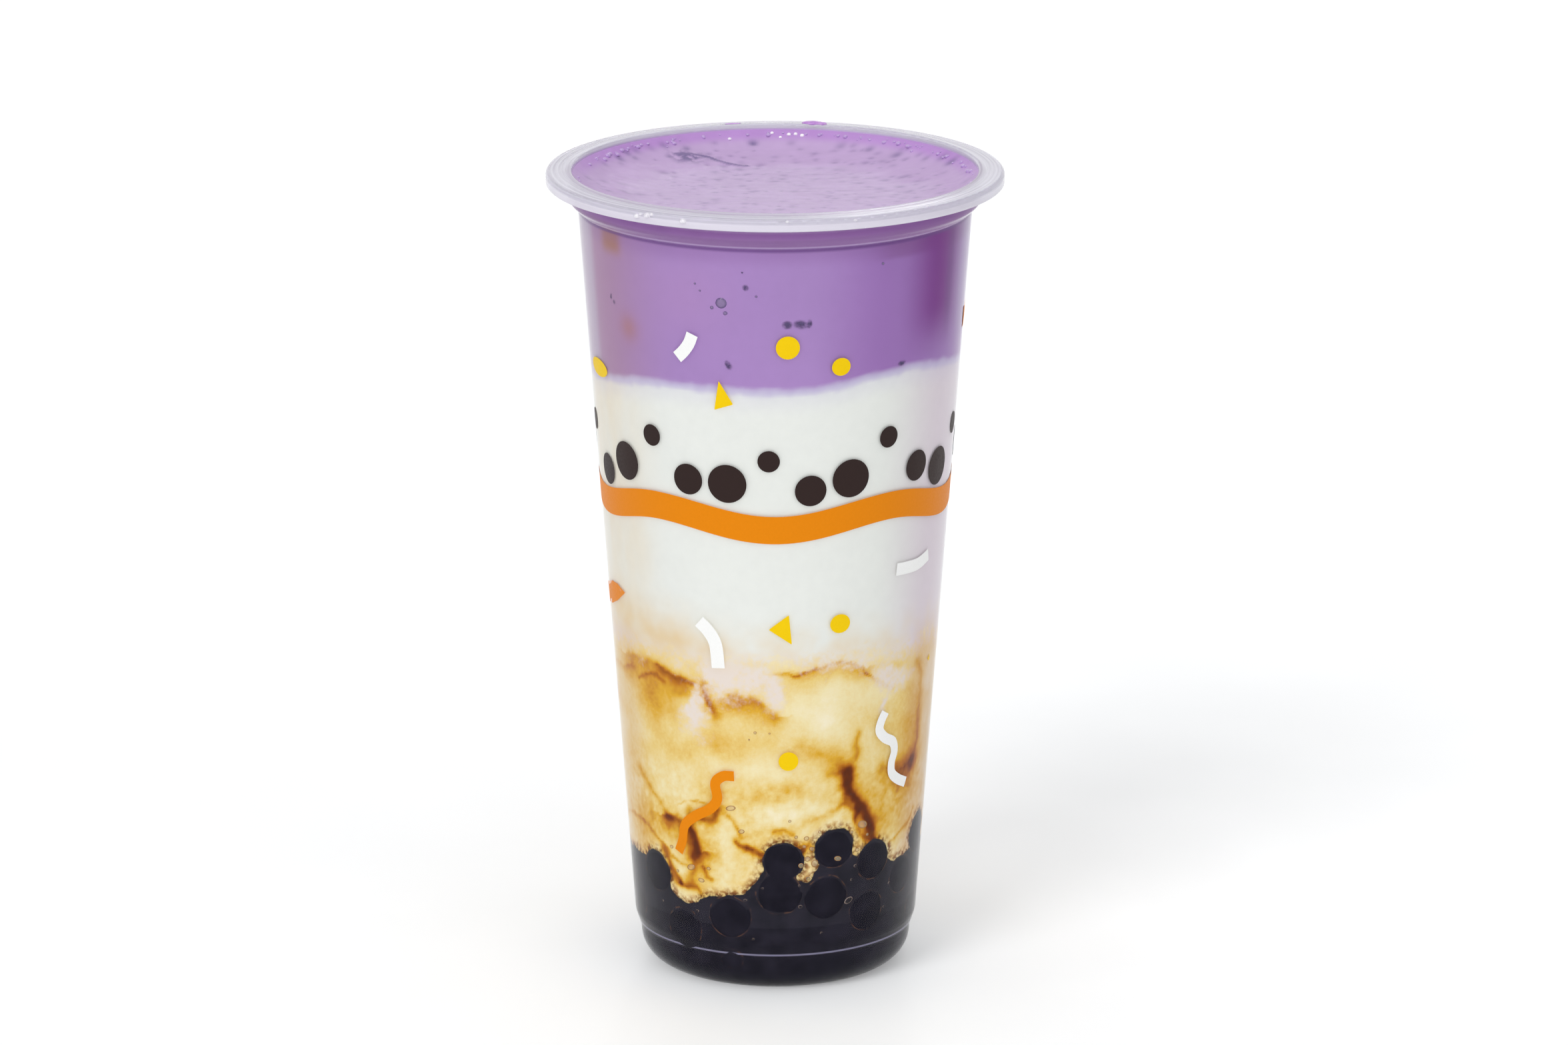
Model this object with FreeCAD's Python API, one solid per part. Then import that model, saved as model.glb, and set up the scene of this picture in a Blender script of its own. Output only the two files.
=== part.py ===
"""Tall clear plastic cup of ube bubble milk tea, filled in layers and open at the top.

The cup is an injection-moulded polypropylene tumbler: a flat sealing flange with a turned-down lip, an
upright neck, a shoulder for stacking, a straight tapered body, and a rounded base below a small step.
The drink fills it in four layers that run right through: ube milk, white milk, milk marbled with brown
sugar, and a bed of tapioca pearls in dark syrup. Each layer meets the next along an uneven surface.

Units are millimetres. +Z is up, and the origin is at the centre of the face that the cup stands on.
Bearings are in degrees from the front (-Y), positive towards +X.
"""

import FreeCAD
import Part

import math
import os

from FreeCAD import Vector

# ---- Cup: driving sizes -------------------------------------------------------------------------------
CUP_HEIGHT = 171.0
RIM_DIAMETER = 95.0
BODY_FOOT_DIAMETER = 59.5   # the tapered body, just above where its foot turns in
WALL = 0.75

FLANGE_WIDTH = 4.7          # the sealing flange, from the outside of the neck to the outside of the lip
FLANGE_THICKNESS = 1.0
FLANGE_FALL = 0.45          # how much lower the flange is at its outer edge
LIP_DROP = 2.9              # from the top of the cup to the bottom edge of the lip
LIP_WALL = 0.9
LIP_ROUND = 0.85            # the lip's rounded upper edge
LIP_EDGE_ROUND = 0.3
MOUTH_ROUND = 0.65          # the rounded edge where the neck opens into the flange

SHOULDER_BELOW_RIM = 8.1    # from the top of the cup to the shoulder's lower edge
SHOULDER_WIDTH = 1.9        # how far the shoulder steps in, at 45 degrees

STEP_HEIGHT = 8.3           # the step between the body and the base
STEP_WIDTH = 0.45
FOOT_TURN_HEIGHT = 2.5      # how far above the step the body's foot begins to turn in
FOOT_TURN_WIDTH = 0.8       # and how far it turns in
FOOT_TURN_ROUND = 5.0

BASE_ROUND = 6.4            # the big rounding between the base's side and its foot
FOOT_WIDTH = 1.6            # the ring that the cup stands on
PANEL_RECESS = 1.3          # how far the base's centre panel is raised above the table
PANEL_THICKNESS = 0.9

# ---- Drink: driving sizes -----------------------------------------------------------------------------
FILL_BELOW_RIM = 1.2        # from the top of the cup to where the ube milk meets the wall
DISH_DEPTH = 5.1            # how far the middle of its surface hangs below that line
DISH_EDGE_WIDTH = 4.0       # the steep outer band, where the foam clings to the wall
DISH_EDGE_DEPTH = 2.8       # and how far the surface has fallen at its inner side
DISH_SLOPE_WIDTH = 10.0     # the gentler band between that and the flat middle

UBE_MILK_DEPTH = 37.2       # from the line at the wall down to the white milk
WHITE_MILK_DEPTH = 63.6
PEARL_BED_TOP = 23.5        # the pearl bed's level, above the table

PEARL_DIAMETER = 9.6
PEARL_FLATTENING = 1.2      # how much of a pearl beside the wall is pressed flat

# Lumps and hollows in each boundary: bearing, share of the way out to the wall, rise, spread.
UBE_LUMPS = (
    (-72, 1.0, -1.6, 6.0),
    (-48, 1.0, -1.3, 3.5),
    (-30, 1.0, 0.8, 6.0),
    (14, 1.0, -0.7, 8.0),
    (58, 1.0, 1.4, 10.0),
    (120, 0.9, -1.6, 7.0),
    (175, 0.9, 1.2, 9.0),
    (-130, 0.9, 1.5, 8.0),
)
MILK_LUMPS = (
    (-50, 1.0, 2.0, 6.0),
    (-25, 1.0, -8.5, 3.8),
    (-8, 1.0, -2.5, 5.0),
    (21, 0.95, 5.0, 7.0),
    (50, 1.0, -3.0, 6.0),
    (82, 0.9, 3.5, 7.0),
    (118, 1.0, -8.0, 5.0),
    (155, 0.9, 4.5, 7.5),
    (-165, 1.0, -6.0, 5.5),
    (-120, 0.95, 4.0, 7.0),
    (-88, 1.0, -3.0, 5.0),
    (40, 0.3, 3.0, 9.0),
)
BED_LUMPS = (
    (-60, 0.95, 4.0, 6.5),
    (-36, 0.95, -7.0, 4.5),
    (15, 0.95, 5.0, 7.5),
    (72, 0.95, 4.5, 7.0),
    (110, 0.95, 3.0, 6.0),
    (140, 0.95, -4.0, 5.5),
    (-175, 0.9, 3.0, 6.5),
    (-125, 0.95, -4.5, 5.5),
)

# Pearls that stand out of the bed beside the wall: bearing, and height of the centre above the bed's level.
WALL_PEARLS = (
    (-84, -0.5),
    (-59, 0.8),
    (-19, -5.7),
    (2.5, 5.3),
    (22.5, 8.0),
    (42, 4.0),
    (71, 6.0),
    (93, 3.2),
    (113, 4.6),
    (134, -2.0),
    (153, 1.5),
    (172, 4.0),
    (-167, 2.5),
    (-147, 1.0),
    (-126, -4.0),
    (-105, 2.0),
)
# Rings of pearls further in: how many, share of the way out to the wall, height above the bed's level.
INNER_RINGS = (
    (6, 0.52, 1.2),
    (1, 0.0, 2.0),
)

SURFACE_SPANS = 22          # spans of the fitted surface between two layers
SURFACE_MARGIN = 6.0        # how far that surface runs out past the rim

# ---- Derived sizes ------------------------------------------------------------------------------------
RIM_RADIUS = RIM_DIAMETER / 2
NECK_RADIUS = RIM_RADIUS - FLANGE_WIDTH
MOUTH_RADIUS = NECK_RADIUS - WALL
SHOULDER_HEIGHT = CUP_HEIGHT - SHOULDER_BELOW_RIM
BODY_TOP_RADIUS = NECK_RADIUS - SHOULDER_WIDTH
BODY_FOOT_RADIUS = BODY_FOOT_DIAMETER / 2
BODY_FOOT_HEIGHT = STEP_HEIGHT + FOOT_TURN_HEIGHT
STEP_RADIUS = BODY_FOOT_RADIUS - FOOT_TURN_WIDTH
BASE_RADIUS = STEP_RADIUS - STEP_WIDTH
FOOT_OUTER_RADIUS = BASE_RADIUS - BASE_ROUND
FOOT_INNER_RADIUS = FOOT_OUTER_RADIUS - FOOT_WIDTH
FLOOR_HEIGHT = PANEL_RECESS + PANEL_THICKNESS
FLOOR_ROUND = STEP_HEIGHT - FLOOR_HEIGHT - WALL

FILL_HEIGHT = CUP_HEIGHT - FILL_BELOW_RIM
UBE_MILK_BOTTOM = FILL_HEIGHT - UBE_MILK_DEPTH
WHITE_MILK_BOTTOM = UBE_MILK_BOTTOM - WHITE_MILK_DEPTH
PEARL_RADIUS = PEARL_DIAMETER / 2


# ---- Revolved solids ------------------------------------------------------------------------------------
def rounded_corner(before, corner, after, radius):
    """The first, middle and last points of the arc that rounds a corner."""
    to_before = (before - corner).normalize()
    to_after = (after - corner).normalize()
    half_angle = to_before.getAngle(to_after) / 2
    reach = radius / math.tan(half_angle)
    depth = radius / math.sin(half_angle) - radius
    return (
        corner + to_before * reach,
        corner + (to_before + to_after).normalize() * depth,
        corner + to_after * reach,
    )


def revolved(corners):
    """A solid of revolution about Z. Its closed outline is (radius, height[, rounding]) corners."""
    points = [Vector(corner[0], 0, corner[1]) for corner in corners]
    edges = []
    previous = None
    for i, corner in enumerate(corners):
        first = last = points[i]
        arc = None
        if len(corner) > 2:
            first, middle, last = rounded_corner(
                points[i - 1], points[i], points[(i + 1) % len(points)], corner[2]
            )
            arc = Part.Arc(first, middle, last).toShape()
        if previous is not None:
            edges.append(Part.LineSegment(previous, first).toShape())
        if arc is not None:
            edges.append(arc)
        previous = last
    edges.append(Part.LineSegment(previous, points[0]).toShape())
    return Part.Face(Part.Wire(edges)).revolve(Vector(0, 0, 0), Vector(0, 0, 1), 360)


# ---- Cup ------------------------------------------------------------------------------------------------
def inner_wall():
    """Corners of the cup's inside, from the middle of its floor to the neck. The drink shares them."""
    return [
        (0, FLOOR_HEIGHT),
        (BASE_RADIUS - WALL, FLOOR_HEIGHT, FLOOR_ROUND),
        (BASE_RADIUS - WALL, STEP_HEIGHT, WALL),
        (BODY_FOOT_RADIUS - WALL, BODY_FOOT_HEIGHT + WALL, FOOT_TURN_ROUND),
        (BODY_TOP_RADIUS - WALL, SHOULDER_HEIGHT + WALL / 2),
        (MOUTH_RADIUS, SHOULDER_HEIGHT + SHOULDER_WIDTH + WALL / 2, WALL),
    ]


def cup():
    flange_edge = CUP_HEIGHT - FLANGE_FALL
    lip_bottom = CUP_HEIGHT - LIP_DROP
    lip_inner = RIM_RADIUS - LIP_WALL
    rim = [
        (MOUTH_RADIUS, CUP_HEIGHT, MOUTH_ROUND),
        (RIM_RADIUS, flange_edge, LIP_ROUND),
        (RIM_RADIUS, lip_bottom, LIP_EDGE_ROUND),
        (lip_inner, lip_bottom, LIP_EDGE_ROUND),
        (lip_inner, flange_edge - FLANGE_THICKNESS),
        (NECK_RADIUS, CUP_HEIGHT - FLANGE_THICKNESS, WALL),
    ]
    outer_wall = [
        (NECK_RADIUS, SHOULDER_HEIGHT + SHOULDER_WIDTH, WALL),
        (BODY_TOP_RADIUS, SHOULDER_HEIGHT),
        (BODY_FOOT_RADIUS, BODY_FOOT_HEIGHT, FOOT_TURN_ROUND),
        (STEP_RADIUS, STEP_HEIGHT),
        (BASE_RADIUS, STEP_HEIGHT),
        (BASE_RADIUS, 0, BASE_ROUND),
    ]
    underside = [
        (FOOT_INNER_RADIUS, 0),
        (FOOT_INNER_RADIUS - PANEL_RECESS, PANEL_RECESS, PANEL_RECESS / 2),
        (0, PANEL_RECESS),
    ]
    return revolved(inner_wall() + rim + outer_wall + underside)


# ---- Drink ----------------------------------------------------------------------------------------------
def inner_radius(height):
    """The radius of the cup's inside at a height on its tapered body."""
    low_radius, low_height = BODY_FOOT_RADIUS - WALL, BODY_FOOT_HEIGHT + WALL
    high_radius, high_height = BODY_TOP_RADIUS - WALL, SHOULDER_HEIGHT + WALL / 2
    share = (height - low_height) / (high_height - low_height)
    return low_radius + (high_radius - low_radius) * share


def at_bearing(bearing, radius, height):
    angle = math.radians(bearing)
    return Vector(radius * math.sin(angle), -radius * math.cos(angle), height)


def whole_drink():
    """The cup's inside, up to a surface that climbs at the wall and dips in the middle like a dish."""
    edge_radius = MOUTH_RADIUS - DISH_EDGE_WIDTH
    flat_height = FILL_HEIGHT - DISH_DEPTH
    surface = [
        (MOUTH_RADIUS, FILL_HEIGHT),
        (edge_radius, FILL_HEIGHT - DISH_EDGE_DEPTH, 2 * DISH_EDGE_WIDTH),
        (edge_radius - DISH_SLOPE_WIDTH, flat_height, 2 * DISH_SLOPE_WIDTH),
        (0, flat_height),
    ]
    return revolved(inner_wall() + surface)


def uneven_height(x, y, level, lumps):
    """The height of a boundary between layers: a level plane, with a smooth rise for each lump."""
    height = level
    for bearing, share, rise, spread in lumps:
        centre = at_bearing(bearing, share * inner_radius(level), 0)
        distance = math.hypot(x - centre.x, y - centre.y)
        height += rise * math.exp(-((distance / spread) ** 2) / 2)
    return height


def space_above(level, lumps):
    """The space over an uneven boundary, as a solid wider and taller than the cup."""
    half_width = RIM_RADIUS + SURFACE_MARGIN
    steps = [half_width * (2 * i / SURFACE_SPANS - 1) for i in range(SURFACE_SPANS + 1)]
    grid = [[Vector(x, y, uneven_height(x, y, level, lumps)) for y in steps] for x in steps]
    surface = Part.BSplineSurface()
    surface.interpolate(grid)
    return surface.toShape().extrude(Vector(0, 0, 2 * CUP_HEIGHT))


def pearl(bearing, radius, height):
    """A round pearl, with its pole towards the wall so that a flat spot pressed there is cut cleanly."""
    return Part.makeSphere(PEARL_RADIUS, at_bearing(bearing, radius, height), at_bearing(bearing, 1, 0))


def standing_pearls():
    """The pearls that stand out of the bed: those beside the wall, and rings of them further in."""
    pearls = []
    for bearing, rise in WALL_PEARLS:
        height = PEARL_BED_TOP + rise
        pearls.append(pearl(bearing, inner_radius(height) + PEARL_FLATTENING - PEARL_RADIUS, height))
    for count, share, rise in INNER_RINGS:
        height = PEARL_BED_TOP + rise
        for i in range(count):
            pearls.append(pearl(360 * (i + share) / count, share * inner_radius(height), height))
    return pearls


def drink_layers():
    """The drink's layers by name, each cut from what is left under the one above."""
    drink = whole_drink()
    above = space_above(UBE_MILK_BOTTOM, UBE_LUMPS)
    ube_milk = drink.common(above)
    drink = drink.cut(above)
    above = space_above(WHITE_MILK_BOTTOM, MILK_LUMPS)
    white_milk = drink.common(above)
    drink = drink.cut(above)
    bed_core = drink.cut(space_above(PEARL_BED_TOP, BED_LUMPS))
    pressed_pearls = [round_pearl.common(drink) for round_pearl in standing_pearls()]
    pearl_bed = bed_core.fuse(pressed_pearls)
    return {
        "ube_milk": ube_milk,
        "white_milk": white_milk,
        "brown_sugar_milk": drink.cut(pearl_bed),
        "pearl_bed": pearl_bed,
    }


def main():
    os.makedirs("parts", exist_ok=True)
    nodes = {"cup": cup(), **drink_layers()}
    for name, shape in nodes.items():
        shape.exportStep(os.path.join("parts", name + ".step"))
        print(name, "solids:", len(shape.Solids), "volume in cm3:", round(shape.Volume / 1000, 1))


main()
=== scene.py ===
"""Looks for the cup of ube bubble milk tea: its drink, print and light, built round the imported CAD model.

Lengths here are in millimetres and become metres where a mesh is made. Bearings are in degrees from the
front (-Y), positive towards +X, as in the CAD source. Colours are written as seen on screen, from 0 to 255.
"""

import math

import bpy
import numpy as np
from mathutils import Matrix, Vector


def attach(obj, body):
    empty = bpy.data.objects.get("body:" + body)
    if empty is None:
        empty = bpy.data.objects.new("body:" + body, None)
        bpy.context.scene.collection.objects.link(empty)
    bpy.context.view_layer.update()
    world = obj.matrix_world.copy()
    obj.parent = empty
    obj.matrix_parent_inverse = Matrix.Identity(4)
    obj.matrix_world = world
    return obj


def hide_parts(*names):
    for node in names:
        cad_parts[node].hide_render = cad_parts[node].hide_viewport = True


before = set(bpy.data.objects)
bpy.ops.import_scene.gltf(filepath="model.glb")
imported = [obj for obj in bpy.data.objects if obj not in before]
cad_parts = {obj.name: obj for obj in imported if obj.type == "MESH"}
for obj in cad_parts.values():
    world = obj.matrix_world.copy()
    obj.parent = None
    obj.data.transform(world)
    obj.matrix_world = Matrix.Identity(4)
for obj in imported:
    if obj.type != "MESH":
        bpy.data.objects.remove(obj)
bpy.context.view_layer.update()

MM = 0.001

# ---- Sizes shared with the CAD model ----------------------------------------
CUP_HEIGHT = 171.0
RIM_RADIUS = 47.5
FLANGE_FALL = 0.45
NECK_RADIUS = 42.8
WALL = 0.75
SHOULDER_HEIGHT = 162.9
SHOULDER_WIDTH = 1.9
STEP_HEIGHT = 8.3
BODY_TOP_RADIUS = 40.9
BODY_FOOT_RADIUS = 29.75
BODY_FOOT_HEIGHT = 10.8
BASE_RADIUS = 28.5
FLOOR_HEIGHT = 2.2
FLOOR_ROUND = 5.35
DISH_FLOOR_HEIGHT = 164.7
DISH_FLOOR_RADIUS = 28.05
DISH_EDGE_RADIUS = 38.05

# ---- Sizes of the scene's own -----------------------------------------------
INTO_WALL = 0.3             # how far the drink reaches into the plastic, so that no air gap shows
MARBLE_RADIUS = 33.0        # the radius at which the marbling is laid out flat
MARBLE_TOP = 80.0
MARBLE_BOTTOM = 15.0
SEAM_FALL = 1.2             # how far below their painted boundary the ube and white milk meet
INK_RISE = 0.05             # how far the print stands off the plastic
PRESSED = 2.1               # how much of a pearl is pressed flat at the wall
COLUMNS = 450               # points round the wall, as many in each layer, so that their seams match
BEARINGS = np.arange(COLUMNS) * 360 / COLUMNS - 180


# ---- Numbers ----------------------------------------------------------------
def smooth(x, low, high):
    """From 0 at low to 1 at high, which may be the smaller one, with a soft start and end."""
    t = np.clip((x - low) / (high - low), 0, 1)
    return t * t * (3 - 2 * t)


def band(x, start, full, still_full, end):
    """From 0 at start to 1 between the middle two and back to 0 at end."""
    return smooth(x, start, full) * smooth(x, end, still_full)


def blend(a, b, share):
    """Colours a with a share of b, one share for each point."""
    share = np.asarray(share)[:, None]
    return a * (1 - share) + b * share


def linear(red, green, blue):
    """A colour as seen on screen in scene-linear numbers."""
    c = np.array([red, green, blue], float) / 255
    return np.where(c <= 0.04045, c / 12.92, ((c + 0.055) / 1.055) ** 2.4)


def lattice_noise(points, cell, seed):
    """Smooth noise from -1 to 1 at points in millimetres, its lumps about one cell across."""
    rng = np.random.default_rng(seed)
    table = rng.permutation(512)
    slopes = rng.normal(size=(512, 3))
    slopes /= np.linalg.norm(slopes, axis=1)[:, None]
    q = points / cell + rng.uniform(50, 90, 3)
    base = np.floor(q).astype(int)
    f = q - base
    ease = f * f * f * (f * (6 * f - 15) + 10)
    total = np.zeros(len(points))
    for corner in np.ndindex(2, 2, 2):
        at = base + corner
        key = table[(table[(table[at[:, 0] % 512] + at[:, 1]) % 512] + at[:, 2]) % 512]
        weight = np.prod(np.where(corner, ease, 1 - ease), axis=1)
        total += weight * np.einsum("ij,ij->i", slopes[key], f - corner)
    return 1.6 * total


def layered_noise(points, cell, seed, layers=3):
    return sum(lattice_noise(points, cell / 2 ** i, seed + i) / 2 ** i for i in range(layers)) / 1.5


# ---- Places on the cup ------------------------------------------------------
def inner_radius(z):
    """The inside of the plastic, from its floor to its mouth."""
    low_z = BODY_FOOT_HEIGHT + WALL
    high_z = SHOULDER_HEIGHT + WALL / 2
    bend = low_z + 0.6
    body = (BODY_FOOT_RADIUS - WALL) + (BODY_TOP_RADIUS - BODY_FOOT_RADIUS) * (z - low_z) / (high_z - low_z)
    ledge = BODY_TOP_RADIUS - WALL + np.clip(z - high_z, 0, SHOULDER_WIDTH)
    foot = BASE_RADIUS - WALL + 1.25 * smooth(z, STEP_HEIGHT, bend)
    drop = np.clip(FLOOR_HEIGHT + FLOOR_ROUND - z, 0, FLOOR_ROUND)
    foot = foot - FLOOR_ROUND + np.sqrt(FLOOR_ROUND ** 2 - drop ** 2)
    return np.where(z > high_z, ledge, np.where(z < bend, np.minimum(foot, body), body))


def outer_radius(z):
    """The outside of the plastic on the tapered body."""
    share = (z - BODY_FOOT_HEIGHT) / (SHOULDER_HEIGHT - BODY_FOOT_HEIGHT)
    return BODY_FOOT_RADIUS + (BODY_TOP_RADIUS - BODY_FOOT_RADIUS) * share


def place(bearing, radius, z):
    """Points from bearing, radius and height."""
    a = np.radians(bearing)
    return np.stack(np.broadcast_arrays(radius * np.sin(a), -radius * np.cos(a), z), axis=-1)


def unroll(bearing):
    """Distance round the marbling from the front, in millimetres."""
    return np.radians((np.asarray(bearing, float) + 180) % 360 - 180) * MARBLE_RADIUS


def line_height(bearing, line):
    """Height of a line of (bearing, height) points at a bearing."""
    return np.interp((bearing + 180) % 360 - 180, *np.array(line).T)


def path_distance(u, z, path, scale=math.radians(1) * MARBLE_RADIUS):
    """Distance in mm from wall points to a path of (bearing, height), and how far they lie below it."""
    best = np.full(u.shape, 1e9)
    below = np.zeros(u.shape)
    turned = [(b * scale, h) for b, h in path]
    for (u0, z0), (u1, z1) in zip(turned, turned[1:]):
        du, dz = u1 - u0, z1 - z0
        t = np.clip(((u - u0) * du + (z - z0) * dz) / (du * du + dz * dz), 0, 1)
        d = np.hypot(u - u0 - t * du, z - z0 - t * dz)
        nearer = d < best
        below = np.where(nearer, z0 + t * dz - z, below)
        best = np.where(nearer, d, best)
    return best, below


# ---- Meshes -----------------------------------------------------------------
def grid_faces(rows, columns, joined=True):
    """Quads over a grid of points, whose columns join up if joined. They face outwards, rows going up."""
    r, c = np.meshgrid(np.arange(rows - 1), np.arange(columns if joined else columns - 1), indexing="ij")
    n = (c + 1) % columns
    corners = [r * columns + c, r * columns + n, (r + 1) * columns + n, (r + 1) * columns + c]
    return np.stack(corners, -1).reshape(-1, 4)


def fan_faces(centre, ring, upwards):
    """Triangles from a centre point to a closed ring of points."""
    turned = np.roll(ring, -1)
    middle = np.full(len(ring), centre)
    return np.stack([middle, ring, turned] if upwards else [middle, turned, ring], -1)


def capped_faces(rows, columns):
    """A grid of points closed at its last row by one more point."""
    n = rows * columns
    return [grid_faces(rows, columns), fan_faces(n, np.arange(n - columns, n), True)]


def closed_faces(rows, columns):
    """A grid of points closed by one more point below its first row and one above its last."""
    n = rows * columns
    top = fan_faces(n + 1, np.arange(n - columns, n), True)
    return [grid_faces(rows, columns), fan_faces(n, np.arange(columns), False), top]


def mesh_object(name, points, face_sets, material, smooth_shaded=True, fields=None, kinds=None):
    """A mesh object from points in mm and arrays of triangles or quads.

    Each field has one value per point. Material may be a list, and kinds then has each set of faces' place
    in it."""
    mesh = bpy.data.meshes.new(name)
    loops = np.concatenate([f.ravel() for f in face_sets])
    sizes = np.concatenate([np.full(len(f), f.shape[1]) for f in face_sets])
    mesh.vertices.add(len(points))
    mesh.vertices.foreach_set("co", (np.asarray(points) * MM).astype(np.float32).ravel())
    mesh.loops.add(len(loops))
    mesh.loops.foreach_set("vertex_index", loops.astype(np.int32))
    mesh.polygons.add(len(sizes))
    mesh.polygons.foreach_set("loop_start", np.concatenate([[0], np.cumsum(sizes)[:-1]]).astype(np.int32))
    mesh.update(calc_edges=True)
    mesh.validate()
    if smooth_shaded:
        mesh.shade_smooth()
        mesh.set_sharp_from_angle(angle=math.radians(55))
    for field, values in (fields or {}).items():
        kind, key = ("FLOAT_COLOR", "color") if values.ndim == 2 else ("FLOAT", "value")
        if values.ndim == 2:
            values = np.concatenate([values, np.ones((len(values), 1))], axis=1)
        mesh.attributes.new(field, kind, "POINT").data.foreach_set(key, values.astype(np.float32).ravel())
    for one in material if isinstance(material, list) else [material]:
        mesh.materials.append(one)
    if kinds is not None:
        which = np.concatenate([np.full(len(f), k) for f, k in zip(face_sets, kinds)])
        mesh.polygons.foreach_set("material_index", which.astype(np.int32))
    thing = bpy.data.objects.new(name, mesh)
    bpy.context.scene.collection.objects.link(thing)
    return thing


def dress(thing, slot, *replaced):
    """Puts a piece on the cup's body and hides the CAD nodes that it stands for. The slot is not used."""
    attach(thing, "root")
    if replaced:
        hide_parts(*replaced)


class Joined:
    """Many small shapes gathered into one mesh."""

    def __init__(self):
        self.points, self.faces, self.fields, self.count = [], {3: [], 4: []}, {}, 0

    def add(self, points, face_sets, **fields):
        for faces in face_sets:
            self.faces[faces.shape[1]].append(faces + self.count)
        self.points.append(points)
        for name, values in fields.items():
            self.fields.setdefault(name, []).append(np.broadcast_to(values, (len(points),)))
        self.count += len(points)

    def piece(self, name, material):
        sets = [np.concatenate(f) for f in self.faces.values() if f]
        fields = {n: np.concatenate(v) for n, v in self.fields.items()}
        return mesh_object(name, np.concatenate(self.points), sets, material, True, fields)


# ---- Materials --------------------------------------------------------------
class NodeTree:
    """Short ways to add shader nodes and to join them."""

    def __init__(self, tree, output_kind):
        self.nodes, self.links = tree.nodes, tree.links
        self.nodes.clear()
        self.output = self.nodes.new(output_kind)

    def node(self, kind, inputs=None, **settings):
        node = self.nodes.new(kind)
        for key, value in settings.items():
            setattr(node, key, value)
        for key, value in (inputs or {}).items():
            if isinstance(value, bpy.types.NodeSocket):
                self.links.new(value, node.inputs[key])
            else:
                node.inputs[key].default_value = value
        return node

    def math(self, operation, a, b=0.0):
        return self.node("ShaderNodeMath", {0: a, 1: b}, operation=operation).outputs[0]

    def field(self, name, output="Fac"):
        return self.node("ShaderNodeAttribute", attribute_name=name).outputs[output]

    def noise(self, cell, detail, stretch=(1, 1, 1)):
        """Noise from 0 to 1 whose lumps are about one cell (mm) across."""
        spot = self.node("ShaderNodeTexCoord").outputs["Object"]
        spot = self.node("ShaderNodeVectorMath", {0: spot, 1: stretch}, operation="MULTIPLY").outputs[0]
        inputs = {"Vector": spot, "Scale": 1 / (cell * MM), "Detail": detail}
        return self.node("ShaderNodeTexNoise", inputs).outputs["Fac"]

    def span(self, value, low, high, to_low=0.0, to_high=1.0, kind="SMOOTHSTEP"):
        inputs = {0: value, 1: low, 2: high, 3: to_low, 4: to_high}
        return self.node("ShaderNodeMapRange", inputs, interpolation_type=kind).outputs[0]

    def uneven(self, cell, detail, low=0.0, high=1.0):
        """A value that wanders between two others over the surface."""
        return self.span(self.noise(cell, detail), 0.3, 0.7, low, high)

    def shaken(self, value, noise, reach):
        """A value that a noise moves up and down by as much as the reach."""
        return self.math("ADD", value, self.span(noise, 0.25, 0.75, -reach, reach, "LINEAR"))

    def mix(self, share, a, b, kind="MIX"):
        node = self.node("ShaderNodeMix", data_type="RGBA", blend_type=kind)
        for key, value in {0: share, 6: a, 7: b}.items():
            if isinstance(value, bpy.types.NodeSocket):
                self.links.new(value, node.inputs[key])
            else:
                node.inputs[key].default_value = value if isinstance(value, float) else (*value, 1)
        return node.outputs[2]

    def ramp(self, value, stops):
        node = self.node("ShaderNodeValToRGB", {0: value})
        band_of_colour = node.color_ramp
        while len(band_of_colour.elements) < len(stops):
            band_of_colour.elements.new(0.5)
        for element, (position, colour) in zip(band_of_colour.elements, stops):
            element.position = position
            element.color = (*linear(*colour), 1)
        return node.outputs[0]

    def bump(self, height, depth):
        inputs = {"Height": height, "Strength": 1.0, "Distance": depth * MM}
        return self.node("ShaderNodeBump", inputs).outputs[0]

    def background_rays(self):
        """1 for rays that see the background, straight or through gloss or clear plastic, 0 for its light."""
        path = self.node("ShaderNodeLightPath").outputs
        seen = self.math("MAXIMUM", path["Is Camera Ray"], path["Is Glossy Ray"])
        return self.math("MAXIMUM", seen, path["Is Transmission Ray"])

    def principled(self, inputs):
        return self.node("ShaderNodeBsdfPrincipled", inputs).outputs[0]

    def finish(self, socket):
        self.links.new(socket, self.output.inputs["Surface"])


class Material(NodeTree):
    def __init__(self, name):
        self.material = bpy.data.materials.new(name)
        self.material.use_nodes = True
        super().__init__(self.material.node_tree, "ShaderNodeOutputMaterial")

    def made_of(self, inputs):
        """The finished material, one principled shader with these inputs."""
        self.finish(self.principled(inputs))
        return self.material


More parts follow.
